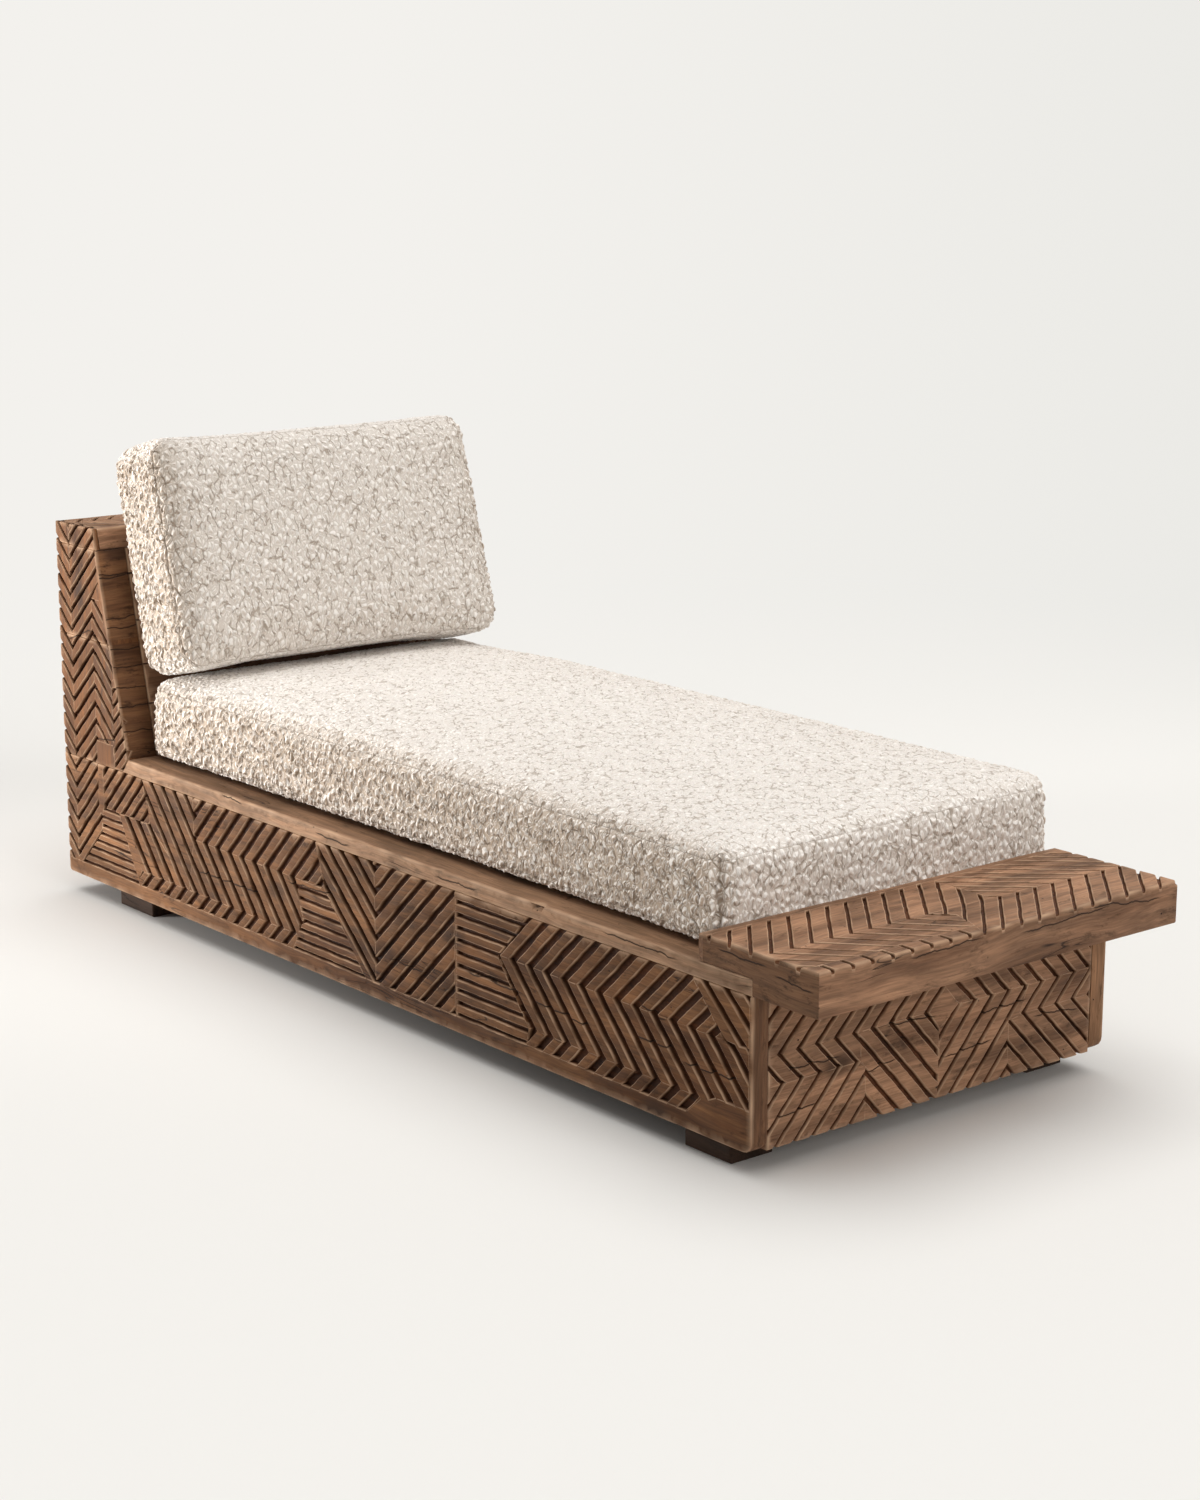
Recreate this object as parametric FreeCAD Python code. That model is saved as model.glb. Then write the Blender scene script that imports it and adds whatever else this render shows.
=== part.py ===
import FreeCAD, Part
import math
import os

# A carved daybed: a long plank box on four feet, a wedge headboard, a heavy foot shelf and two loose
# cushions. Millimetres. +X runs to the foot end, -Y is the near long side, +Z is up, and the origin is on
# the floor under the middle of the whole piece.

V = FreeCAD.Vector
ORIGIN = V(0, 0, 0)
ALONG = V(1, 0, 0)
ACROSS = V(0, 1, 0)
UP = V(0, 0, 1)

os.makedirs("parts", exist_ok=True)

# Driving dimensions of the base
base_length = 2113.5
base_width = 800.0
side_height = 252.0
side_thickness = 35.0
end_board_thickness = 30.0
side_corner_radius = 20.0
rail_thickness = 28.2
rail_width = 92.0
rail_end_slant = 22.0

# Feet and the beams that take them
foot_height = 40.0
foot_inset = 22.0
foot_width = 90.0
head_foot_length = 128.0
head_foot_from_head = 170.0
tail_foot_length = 108.0
tail_foot_from_tail = 70.5
beam_height = 45.0

# Foot shelf
shelf_depth = 266.7
shelf_overhang = 143.7
shelf_rise = 45.1

# Headboard
head_height = 732.2
head_top_depth = 150.0
head_foot_depth = 257.6
cheek_thickness = 68.0
cheek_joint_height = 505.0
cap_height = 42.0
front_board_thickness = 25.0
front_board_count = 6
front_board_joint_shares = (0.0, 0.06, 0.25, 0.44, 0.65, 0.875, 1.0)
back_board_count = 3
post_size = 50.0
batten_width = 30.0
batten_depth = 35.0

# Deck and what carries it
plank_count = 4
plank_gap = 4.0
plank_head_setback = 150.0
bearer_count = 6
bearer_width = 45.0
bearer_height = 60.0
ledger_height = 40.0

# Fasteners: eight-sided hand-cut pegs and square cut nails
hole_slack = 0.15
end_slack = 1.0
peg_sides = 8
peg_radius = 6.0
peg_length = 44.0
cheek_peg_radius = 8.0
cheek_peg_length = 60.0
cheek_peg_inset = 22.0
foot_peg_radius = 7.0
foot_peg_length = 62.0
foot_peg_recess = 6.0
foot_peg_spacing = 64.0
nail_sides = 4
nail_radius = 3.0
nail_reach = 46.0
deck_nail_size = 4.0
deck_nail_length = 52.0
deck_nail_edge_distance = 22.0

# Carving: grooves cut between raised bars
groove_depth = 9.0
shelf_groove_depth = 6.0
groove_overrun = 2.0
bar_pitch = 43.4
band_reach = 1200.0

# Cushions
cushion_gap = 0.4
crown_facets = 6
seat_head_gap = 10.9
seat_side_margin = 32.0
seat_far_shift = 8.0
seat_side_height = 168.0
seat_radius = 34.0
seat_crown = 15.0
seat_crown_under_back = 3.0
seat_side_crown = 5.0
seat_plan_waist = 4.0
seat_end_gap = 1.0
back_tilt_degrees = 14.3
back_thickness = 160.0
back_height = 455.0
back_width = 730.0
back_far_shift = 18.0
back_radius = 42.0
back_front_crown = 20.0
back_rear_crown = 46.0
back_edge_crown = 5.0
back_plan_waist = 6.0

# Reference planes worked out from the sizes above
overall_length = base_length + shelf_overhang
head_x = -overall_length / 2
tail_x = head_x + base_length
shelf_end_x = tail_x + shelf_overhang
shelf_start_x = shelf_end_x - shelf_depth
near_y = -base_width / 2
far_y = base_width / 2
base_z = foot_height
side_top_z = base_z + side_height
deck_z = side_top_z + rail_thickness
shelf_top_z = deck_z + shelf_rise
head_top_z = base_z + head_height
cap_under_z = head_top_z - cap_height
near_inner_y = near_y + side_thickness
far_inner_y = far_y - side_thickness
cheek_inner_y = near_y + cheek_thickness
rail_inner_y = near_y + rail_width
plank_head_x = head_x + plank_head_setback


# Shapes

def block(x0, x1, y0, y1, z0, z1):
    return Part.makeBox(x1 - x0, y1 - y0, z1 - z0, V(x0, y0, z0))


def side_prism(outline, y0, y1):
    """A side outline of (x, z) points pushed from y0 to y1."""
    corners = [V(x, y0, z) for x, z in outline]
    face = Part.Face(Part.makePolygon(corners + corners[:1]))
    return face.extrude(V(0, y1 - y0, 0))


def mirrored(shape):
    """The like piece on the far side."""
    return shape.mirror(ORIGIN, ACROSS)


def stick(start, direction, length, radius, sides):
    """A straight peg or nail with flat sides."""
    first = ALONG if abs(direction.y) > abs(direction.x) + abs(direction.z) else ACROSS
    second = direction.cross(first)
    corners = []
    for index in range(sides):
        turn = 2 * math.pi * (index + 0.5) / sides
        corners.append(start + first * (radius * math.cos(turn)) + second * (radius * math.sin(turn)))
    face = Part.Face(Part.makePolygon(corners + corners[:1]))
    return face.extrude(direction * length)


def stick_hole(start, direction, length, radius, sides):
    """The hole of a peg or nail, with slack round it and past both of its ends."""
    return stick(start - direction * end_slack, direction, length + 2 * end_slack, radius + hole_slack, sides)


def single(shape):
    """The one solid in a shape."""
    solids = shape.Solids
    return solids[0] if len(solids) == 1 else Part.makeCompound(solids)


def write(name, shape):
    shape.exportStep(f"parts/{name}.step")


def slope_x(z):
    """Front face of the headboard at height z."""
    rise = head_top_z - deck_z
    return head_x + head_foot_depth - (head_foot_depth - head_top_depth) * (z - deck_z) / rise


# Carving
# A field is a flat carved face. Each region in its table has an outline, the way its grooves repeat, their
# lean in degrees, one point on a groove, the pitch as a share of bar_pitch and the groove as a share of that
# pitch. Places are shares of the field's length and height.

side_field_shares = (
    (((0, .119), (.02, .119), (.02, 1), (0, 1)), "up", -44, (.02, .468), .83, .33),
    (((.02, .119), (.0293, .119), (.0691, .448), (.0691, .575), (.0643, .627), (.0643, 1), (.02, 1)),
     "up", 44, (.02, .468), .83, .39),
    (((.0293, .119), (.0691, .448), (.0691, .575), (.0738, .647), (.1022, .647), (.1363, .119)),
     "up", 0, (.0473, .567), .42, .38),
    (((.0738, .647), (.0738, 1), (.1476, 1), (.1609, .647)), "along", 44, (.0908, .647), .846, .44),
    (((.1022, .647), (.1609, .647), (.2271, .242), (.1419, .242)), "along", -50, (.2583, .667), 1, .44),
    (((.1476, 1), (.1609, .647), (.2271, .242), (.2389, .667), (.2389, 1)),
     "along", -50, (.2583, .667), 1, .37),
    (((.2271, .242), (.2389, .667), (.4079, .667), (.4187, .377), (.4107, .242)),
     "along", -50, (.2583, .667), 1, .44),
    (((.2389, .667), (.2389, 1), (.44, 1), (.4533, .667)), "along", 45, (.2583, .667), 1, .44),
    (((.1315, .119), (.1419, .242), (.4107, .242), (.4022, .119)), "along", 43, (.3014, .242), .98, .45),
    (((.4022, .119), (.4107, .242), (.4187, .377), (.4079, .667), (.4533, .667), (.5134, .119)),
     "up", 0, (.4258, .607), .465, .37),
    (((.5134, .119), (.4533, .667), (.4424, 1), (.529, 1), (.529, .119)),
     "up", -42.5, (.529, .615), .945, .44),
    (((.529, .119), (.529, 1), (.6421, 1), (.6421, .119)), "along", 43, (.5735, .119), 1.048, .37),
    (((.6444, .119), (.6444, 1), (.7391, 1), (.6993, .655), (.7391, .242), (.7362, .119)),
     "up", 0, (.6624, .929), .516, .36),
    (((.6993, .667), (.7391, 1), (.9345, 1), (.97, .667)), "along", 43.5, (.7192, .667), 1.046, .44),
    (((.6993, .667), (.9969, .667), (.9969, .278), (.9619, .278), (.951, .242), (.7391, .242)),
     "along", -47, (.7192, .667), 1.046, .44),
    (((.7362, .119), (.7419, .242), (.9463, .242), (.9297, .119)), "along", 45, (.7665, .242), 1.046, .44),
    (((.9345, 1), (.97, .667), (.9969, .667), (.9969, 1)), "along", -42, (.9472, 1), 1.129, .37),
)

head_field_shares = (
    (((0, .344), (.1747, .344), (.2135, 1), (0, 1)), "up", -42, (.1863, .556), .834, .30),
    (((.1747, .344), (.528, .344), (.528, .806), (.6444, .854), (.5823, 1), (.2135, 1)),
     "up", 42, (.1863, .556), .834, .39),
    (((.528, .41), (.7958, .41), (.7958, .587), (.8346, .601), (.6599, .806), (.528, .806)),
     "up", -42, (.528, .664), .834, .33),
    (((.7958, .35), (.9899, .35), (.9899, .41), (.8773, .574), (.7958, .574)),
     "up", 42, (.823, .444), .69, .40),
)

foot_field_shares = (
    (((.0413, .595), (.0413, .992), (.519, .992), (.519, .738), (.4738, .595)),
     "along", 45, (.0725, .595), .908, .30),
    (((.0413, .595), (.2875, .595), (.2875, .401), (.0413, .401)),
     "along", -46, (.0725, .595), .908, .25),
    (((.0413, .401), (.285, .401), (.3013, .353), (.3013, 0), (.0413, 0)),
     "along", 47, (.1313, .401), .908, .25),
    (((.265, .595), (.4738, .595), (.505, .468), (.505, 0), (.3013, 0), (.3013, .353), (.29, .401)),
     "along", -47, (.2712, .595), .908, .30),
    (((.519, .738), (.519, .992), (.9537, .992), (.9537, .595), (.5588, .595)),
     "along", -45, (.5525, .595), .917, .30),
    (((.505, 0), (.505, .468), (.5588, .595), (.7625, .595), (.7375, .401), (.7075, .385), (.7075, 0)),
     "along", 48, (.5587, .595), .917, .28),
    (((.7562, .595), (.9537, .595), (.9537, .409), (.7438, .409)), "along", 46, (.8063, .595), .917, .25),
    (((.7438, .409), (.9537, .409), (.9537, 0), (.7075, 0), (.7075, .385)),
     "along", -45, (.7512, .409), .917, .25),
)

shelf_field_shares = (
    (((0, 0), (0, .105), (.4437, .105), (.425, 0)), "along", 89, (.035, 0), .945, .20),
    (((0, .105), (0, .45), (.4375, .45), (.4725, .345), (.4437, .105)),
     "along", -48, (.0712, .45), .945, .24),
    (((0, .45), (0, .938), (.6125, .938), (.6125, .45)), "along", 49, (.0712, .45), .945, .20),
    (((.425, 0), (.4437, .105), (.4725, .345), (.4375, .45), (1, .45), (1, 0)),
     "along", 45, (.0712, .45), .945, .20),
    (((.6125, .938), (.6125, .45), (1, .45), (1, .938)), "along", -41, (.63, .45), .945, .29),
)

cap_field_shares = (
    (((.05, .02), (.3, .02), (.3, .98), (.05, .98)), "up", -42, (.3, .03), .834, .33),
    (((.3, .02), (.93, .02), (.93, .98), (.3, .98)), "up", 42, (.3, .03), .834, .33),
)


def region_face(outline_shares, length, height):
    corners = [V(u * length, v * height, 0) for u, v in outline_shares]
    return Part.Face(Part.makePolygon(corners + corners[:1]))


def groove_bands(anchor, step, lean, pitch, groove, span):
    """Long parallel bands through the anchor, enough to cross a field of the given span both ways."""
    angle = math.radians(lean)
    reach = V(math.cos(angle), math.sin(angle), 0) * band_reach
    half = step * (groove / 2)
    bands = []
    count = math.ceil(2 * span / pitch)
    for index in range(-count, count + 1):
        centre = anchor + step * (pitch * index)
        corners = [centre - reach - half, centre - reach + half, centre + reach + half, centre + reach - half]
        bands.append(Part.Face(Part.makePolygon(corners + corners[:1])))
    return bands


def field_grooves(table, length, height, depth):
    """The grooves of a field as solids, cut down from its plane z = 0."""
    faces = []
    for outline_shares, repeat, lean, anchor_share, pitch_share, groove_share in table:
        region = region_face(outline_shares, length, height)
        anchor = V(anchor_share[0] * length, anchor_share[1] * height, 0)
        pitch = pitch_share * bar_pitch
        step = ALONG if repeat == "along" else ACROSS
        turns = round((region.BoundBox.Center - anchor).dot(step) / pitch)
        start = anchor + step * (turns * pitch)
        span = region.BoundBox.DiagonalLength
        for band in groove_bands(start, step, lean, pitch, pitch * groove_share, span):
            cut = region.common(band)
            faces.extend(cut.Faces)
    joined = faces[0].fuse(faces[1:]).removeSplitter()
    solids = []
    for face in joined.Faces:
        face.translate(V(0, 0, -depth))
        solids.append(face.extrude(UP * (depth + groove_overrun)))
    return Part.makeCompound(solids)


def placed(shape, origin, u_axis, v_axis):
    """Turns a field's plane to the board's face, with its outside along u x v."""
    out = u_axis.cross(v_axis)
    matrix = FreeCAD.Matrix(
        u_axis.x, v_axis.x, out.x, origin.x,
        u_axis.y, v_axis.y, out.y, origin.y,
        u_axis.z, v_axis.z, out.z, origin.z,
        0, 0, 0, 1,
    )
    moved = shape.copy()
    moved.Placement = FreeCAD.Placement(matrix)
    return moved


side_grooves = placed(field_grooves(side_field_shares, base_length, side_height, groove_depth),
                      V(head_x, near_y, base_z), ALONG, UP)
head_grooves = placed(field_grooves(head_field_shares, head_foot_depth, head_height, groove_depth),
                      V(head_x, near_y, base_z), ALONG, UP)
foot_grooves = placed(field_grooves(foot_field_shares, base_width, side_height, groove_depth),
                      V(tail_x, near_y, base_z), ACROSS, UP)
shelf_grooves = placed(field_grooves(shelf_field_shares, base_width, shelf_depth, shelf_groove_depth),
                       V(shelf_end_x, near_y, shelf_top_z), ACROSS, -ALONG)
cap_grooves = placed(field_grooves(cap_field_shares, head_top_depth, base_width, groove_depth),
                     V(head_x, near_y, head_top_z), ALONG, ACROSS)

# Pegs between side boards and rails, upright in the board's thickness
rail_peg_shares = (0.16, 0.33, 0.5, 0.67, 0.84)
rail_peg_rise_share = 0.6
rail_peg_rise = rail_thickness * rail_peg_rise_share
rail_peg_spots = [
    V(head_x + base_length * share, near_y + side_thickness / 2, side_top_z + rail_peg_rise - peg_length)
    for share in rail_peg_shares
]
near_rail_pegs = [stick(spot, UP, peg_length, peg_radius, peg_sides) for spot in rail_peg_spots]
rail_peg_holes = [stick_hole(spot, UP, peg_length, peg_radius, peg_sides) for spot in rail_peg_spots]
write("rail_pegs", Part.makeCompound(near_rail_pegs + [mirrored(peg) for peg in near_rail_pegs]))

# Pegs up the cheeks: side board to lower cheek, lower to upper, upper to cap
cheek_levels = (
    (side_top_z, (0.24, 0.68)),
    (base_z + cheek_joint_height, (0.2, 0.56)),
    (cap_under_z, (0.18, 0.44)),
)
cap_peg_rise_share = 0.55
cap_peg_rise = cap_height * cap_peg_rise_share
near_cheek_pegs = []
cheek_peg_holes = []
for level, depth_shares in cheek_levels:
    rise = min(cheek_peg_length / 2, cap_peg_rise)
    for share in depth_shares:
        spot = V(head_x + head_foot_depth * share, near_y + cheek_peg_inset, level + rise - cheek_peg_length)
        near_cheek_pegs.append(stick(spot, UP, cheek_peg_length, cheek_peg_radius, peg_sides))
        cheek_peg_holes.append(stick_hole(spot, UP, cheek_peg_length, cheek_peg_radius, peg_sides))
write("cheek_pegs", Part.makeCompound(near_cheek_pegs + [mirrored(peg) for peg in near_cheek_pegs]))

# Pegs from the side boards into the ends of the foot board and the head base board
end_peg_height_shares = (0.25, 0.72)
end_peg_depth_share = 0.6
end_peg_spots = []
for share in end_peg_height_shares:
    level = base_z + side_height * share
    into_side = near_inner_y - side_thickness / 2
    end_peg_spots.append(V(tail_x - end_board_thickness * end_peg_depth_share, into_side, level))
    end_peg_spots.append(V(head_x + end_board_thickness / 2, into_side, level))
near_end_pegs = [stick(spot, ACROSS, peg_length, peg_radius, peg_sides) for spot in end_peg_spots]
end_peg_holes = [stick_hole(spot, ACROSS, peg_length, peg_radius, peg_sides) for spot in end_peg_spots]
far_end_peg_holes = [mirrored(hole) for hole in end_peg_holes]
write("end_board_pegs", Part.makeCompound(near_end_pegs + [mirrored(peg) for peg in near_end_pegs]))

# Ledgers and their nails
ledger_top_z = side_top_z - bearer_height
ledger_head_x = head_x + end_board_thickness
ledger_tail_x = tail_x - end_board_thickness
ledger_length = ledger_tail_x - ledger_head_x
ledger_nail_shares = (0.04, 0.27, 0.5, 0.73, 0.96)
ledger_nail_spots = [
    V(ledger_head_x + ledger_length * share, cheek_inner_y, ledger_top_z - ledger_height / 2)
    for share in ledger_nail_shares
]
near_ledger_nails = []
ledger_nail_holes = []
for spot in ledger_nail_spots:
    near_ledger_nails.append(stick(spot, -ACROSS, nail_reach, nail_radius, nail_sides))
    ledger_nail_holes.append(stick_hole(spot, -ACROSS, nail_reach, nail_radius, nail_sides))
near_ledger = block(ledger_head_x, ledger_tail_x, near_inner_y, cheek_inner_y,
                    ledger_top_z - ledger_height, ledger_top_z).cut(ledger_nail_holes)
write("ledger_nails", Part.makeCompound(near_ledger_nails + [mirrored(nail) for nail in near_ledger_nails]))
write("near_ledger", single(near_ledger))
write("far_ledger", single(mirrored(near_ledger)))

# Side boards: one carved plank each side, its lower foot corner worn round
corner_middle = V(tail_x - side_corner_radius, near_y, base_z + side_corner_radius)
corner_start = V(corner_middle.x, near_y, base_z)
corner_end = V(tail_x, near_y, corner_middle.z)
corner_half = V(math.sin(math.radians(45)), 0, -math.cos(math.radians(45))) * side_corner_radius
side_outline = Part.Wire([
    Part.LineSegment(V(head_x, near_y, base_z), corner_start).toShape(),
    Part.Arc(corner_start, corner_middle + corner_half, corner_end).toShape(),
    Part.LineSegment(corner_end, V(tail_x, near_y, side_top_z)).toShape(),
    Part.LineSegment(V(tail_x, near_y, side_top_z), V(head_x, near_y, side_top_z)).toShape(),
    Part.LineSegment(V(head_x, near_y, side_top_z), V(head_x, near_y, base_z)).toShape(),
])
near_side_board = Part.Face(side_outline).extrude(ACROSS * side_thickness)
side_board_holes = rail_peg_holes + cheek_peg_holes + end_peg_holes + ledger_nail_holes
near_side_board = near_side_board.cut(side_board_holes)
near_side_board = near_side_board.cut(side_grooves)
write("near_side_board", single(near_side_board))
write("far_side_board", single(mirrored(near_side_board)))

# Shelf pegs: two through the rails and two through the foot top rail
shelf_peg_x = (shelf_start_x + tail_x) / 2
shelf_peg_rise = shelf_rise / 2
shelf_peg_hold_share = 0.75
shelf_peg_length = rail_thickness * shelf_peg_hold_share + shelf_peg_rise
shelf_peg_y_shares = (0.0575, 0.35)
shelf_peg_spots = [
    V(shelf_peg_x, near_y + base_width * share, deck_z + shelf_peg_rise - shelf_peg_length)
    for share in shelf_peg_y_shares
]
near_shelf_pegs = [stick(spot, UP, shelf_peg_length, peg_radius, peg_sides) for spot in shelf_peg_spots]
near_shelf_holes = [stick_hole(spot, UP, shelf_peg_length, peg_radius, peg_sides) for spot in shelf_peg_spots]
shelf_holes = near_shelf_holes + [mirrored(hole) for hole in near_shelf_holes]
write("shelf_pegs", Part.makeCompound(near_shelf_pegs + [mirrored(peg) for peg in near_shelf_pegs]))

# Top rails: plain boards, cut on a slant where they meet the cheeks
near_top_rail = side_prism([
    (head_x + head_foot_depth - rail_end_slant, side_top_z),
    (tail_x, side_top_z),
    (tail_x, deck_z),
    (head_x + head_foot_depth, deck_z),
], near_y, rail_inner_y)
near_top_rail = near_top_rail.cut(rail_peg_holes + shelf_holes)
write("near_top_rail", single(near_top_rail))
write("far_top_rail", single(mirrored(near_top_rail)))

foot_top_rail = block(tail_x - rail_width, tail_x, rail_inner_y, -rail_inner_y, side_top_z, deck_z)
write("foot_top_rail", single(foot_top_rail.cut(shelf_holes)))

# Foot board and head base board close the box between the side boards
foot_board = block(tail_x - end_board_thickness, tail_x, near_inner_y, far_inner_y, base_z, side_top_z)
foot_board = foot_board.cut(end_peg_holes + far_end_peg_holes).cut(foot_grooves)
write("foot_board", single(foot_board))

head_base_board = block(head_x, head_x + end_board_thickness, near_inner_y, far_inner_y, base_z, side_top_z)
write("head_base_board", single(head_base_board.cut(end_peg_holes + far_end_peg_holes)))

# Foot shelf: a slab over the rails, stepped down past their ends
foot_shelf = side_prism([
    (shelf_start_x, deck_z),
    (tail_x, deck_z),
    (tail_x, side_top_z),
    (shelf_end_x, side_top_z),
    (shelf_end_x, shelf_top_z),
    (shelf_start_x, shelf_top_z),
], near_y, far_y)
write("foot_shelf", single(foot_shelf.cut(shelf_holes).cut(shelf_grooves)))

# Head cheeks: wedge ends of two stacked timbers
cheek_joint_z = base_z + cheek_joint_height
lower_cheek = side_prism([
    (head_x, side_top_z),
    (head_x + head_foot_depth - rail_end_slant, side_top_z),
    (head_x + head_foot_depth, deck_z),
    (slope_x(cheek_joint_z), cheek_joint_z),
    (head_x, cheek_joint_z),
], near_y, cheek_inner_y).cut(cheek_peg_holes).cut(head_grooves)
upper_cheek = side_prism([
    (head_x, cheek_joint_z),
    (slope_x(cheek_joint_z), cheek_joint_z),
    (slope_x(cap_under_z), cap_under_z),
    (head_x, cap_under_z),
], near_y, cheek_inner_y).cut(cheek_peg_holes).cut(head_grooves)
write("near_cheek_lower", single(lower_cheek))
write("far_cheek_lower", single(mirrored(lower_cheek)))
write("near_cheek_upper", single(upper_cheek))
write("far_cheek_upper", single(mirrored(upper_cheek)))

# Cap: one timber across the top, carved on its top and both ends
head_cap = side_prism([
    (head_x, cap_under_z),
    (slope_x(cap_under_z), cap_under_z),
    (slope_x(head_top_z), head_top_z),
    (head_x, head_top_z),
], near_y, far_y)
far_cheek_peg_holes = [mirrored(hole) for hole in cheek_peg_holes]
head_cap = head_cap.cut(cheek_peg_holes + far_cheek_peg_holes)
head_cap = head_cap.cut(head_grooves).cut(mirrored(head_grooves)).cut(cap_grooves)
write("head_cap", single(head_cap))

# Front boards on the slope, nailed to the battens from behind
slope_angle = math.atan2(head_foot_depth - head_top_depth, head_top_z - deck_z)
board_depth = front_board_thickness / math.cos(slope_angle)
batten_depth_level = batten_depth / math.cos(slope_angle)
slope_out = V(math.cos(slope_angle), 0, math.sin(slope_angle))
front_rise = cap_under_z - deck_z
front_levels = [deck_z + front_rise * share for share in front_board_joint_shares]
batten_nail_share = 0.8
batten_nail_length = (batten_depth + front_board_thickness) * batten_nail_share
near_batten_nails = []
batten_nail_holes = []
for low, high in zip(front_levels[:-1], front_levels[1:]):
    middle = (low + high) / 2
    behind = V(slope_x(middle), cheek_inner_y + batten_width / 2, middle)
    spot = behind - slope_out * (batten_depth + front_board_thickness)
    near_batten_nails.append(stick(spot, slope_out, batten_nail_length, nail_radius, nail_sides))
    batten_nail_holes.append(stick_hole(spot, slope_out, batten_nail_length, nail_radius, nail_sides))
far_batten_nail_holes = [mirrored(hole) for hole in batten_nail_holes]
write("batten_nails", Part.makeCompound(near_batten_nails + [mirrored(nail) for nail in near_batten_nails]))

for index in range(front_board_count):
    low = front_levels[index]
    high = front_levels[index + 1]
    board = side_prism([
        (slope_x(low) - board_depth, low),
        (slope_x(low), low),
        (slope_x(high), high),
        (slope_x(high) - board_depth, high),
    ], cheek_inner_y, -cheek_inner_y)
    write(f"head_front_board_{index + 1}", single(board.cut(batten_nail_holes + far_batten_nail_holes)))

near_head_batten = side_prism([
    (slope_x(deck_z) - board_depth - batten_depth_level, deck_z),
    (slope_x(deck_z) - board_depth, deck_z),
    (slope_x(cap_under_z) - board_depth, cap_under_z),
    (slope_x(cap_under_z) - board_depth - batten_depth_level, cap_under_z),
], cheek_inner_y, cheek_inner_y + batten_width).cut(batten_nail_holes)
write("near_head_batten", single(near_head_batten))
write("far_head_batten", single(mirrored(near_head_batten)))

# Posts inside the cheeks, and the back boards nailed to them
post_x = head_x + end_board_thickness
post_outer_y = cheek_inner_y
post_inner_y = cheek_inner_y + post_size
back_rise = (cap_under_z - side_top_z) / back_board_count
back_nail_sink_share = 0.3
back_nail_length = end_board_thickness * (1 - back_nail_sink_share) + post_size / 2
near_back_nails = []
back_nail_holes = []
for index in range(back_board_count):
    middle = side_top_z + back_rise * (index + 0.5)
    spot = V(head_x + end_board_thickness * back_nail_sink_share, post_outer_y + post_size / 2, middle)
    near_back_nails.append(stick(spot, ALONG, back_nail_length, nail_radius, nail_sides))
    back_nail_holes.append(stick_hole(spot, ALONG, back_nail_length, nail_radius, nail_sides))
far_back_nail_holes = [mirrored(hole) for hole in back_nail_holes]
write("back_board_nails", Part.makeCompound(near_back_nails + [mirrored(nail) for nail in near_back_nails]))

near_post = block(post_x, post_x + post_size, post_outer_y, post_inner_y, base_z, cap_under_z)
near_post = near_post.cut(back_nail_holes)
write("near_head_post", single(near_post))
write("far_head_post", single(mirrored(near_post)))

for index in range(back_board_count):
    low = side_top_z + back_rise * index
    board = block(head_x, post_x, cheek_inner_y, -cheek_inner_y, low, low + back_rise)
    write(f"head_back_board_{index + 1}", single(board.cut(back_nail_holes + far_back_nail_holes)))

# Bearers across the ledgers, and deck planks nailed on them, flush with the rails
plank_tail_x = tail_x - rail_width
plank_room = -2 * rail_inner_y
plank_width = (plank_room - plank_gap * (plank_count + 1)) / plank_count
first_bearer_x = plank_head_x + bearer_width
bearer_step = (plank_tail_x - first_bearer_x) / (bearer_count - 1)
bearer_lines = [first_bearer_x + bearer_step * index for index in range(bearer_count)]
plank_starts = [rail_inner_y + plank_gap + (plank_width + plank_gap) * index for index in range(plank_count)]

deck_nails = []
deck_nail_holes = []
for bearer_index, line in enumerate(bearer_lines):
    nail_x = line - deck_nail_size if bearer_index == bearer_count - 1 else line
    for plank_index, start in enumerate(plank_starts):
        even = (bearer_index + plank_index) % 2 == 0
        nail_y = start + (plank_width - deck_nail_edge_distance if even else deck_nail_edge_distance)
        spot = V(nail_x, nail_y, deck_z)
        deck_nails.append(stick(spot, -UP, deck_nail_length, deck_nail_size, nail_sides))
        deck_nail_holes.append(stick_hole(spot, -UP, deck_nail_length, deck_nail_size, nail_sides))
write("deck_nails", Part.makeCompound(deck_nails))

for index, line in enumerate(bearer_lines):
    bearer = block(line - bearer_width / 2, line + bearer_width / 2, near_inner_y, far_inner_y,
                   ledger_top_z, side_top_z)
    here = deck_nail_holes[index * plank_count:(index + 1) * plank_count]
    write(f"bearer_{index + 1}", single(bearer.cut(here)))

for index, start in enumerate(plank_starts):
    plank = block(plank_head_x, plank_tail_x, start, start + plank_width, side_top_z, deck_z)
    write(f"deck_plank_{index + 1}", single(plank.cut(deck_nail_holes[index::plank_count])))

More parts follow.
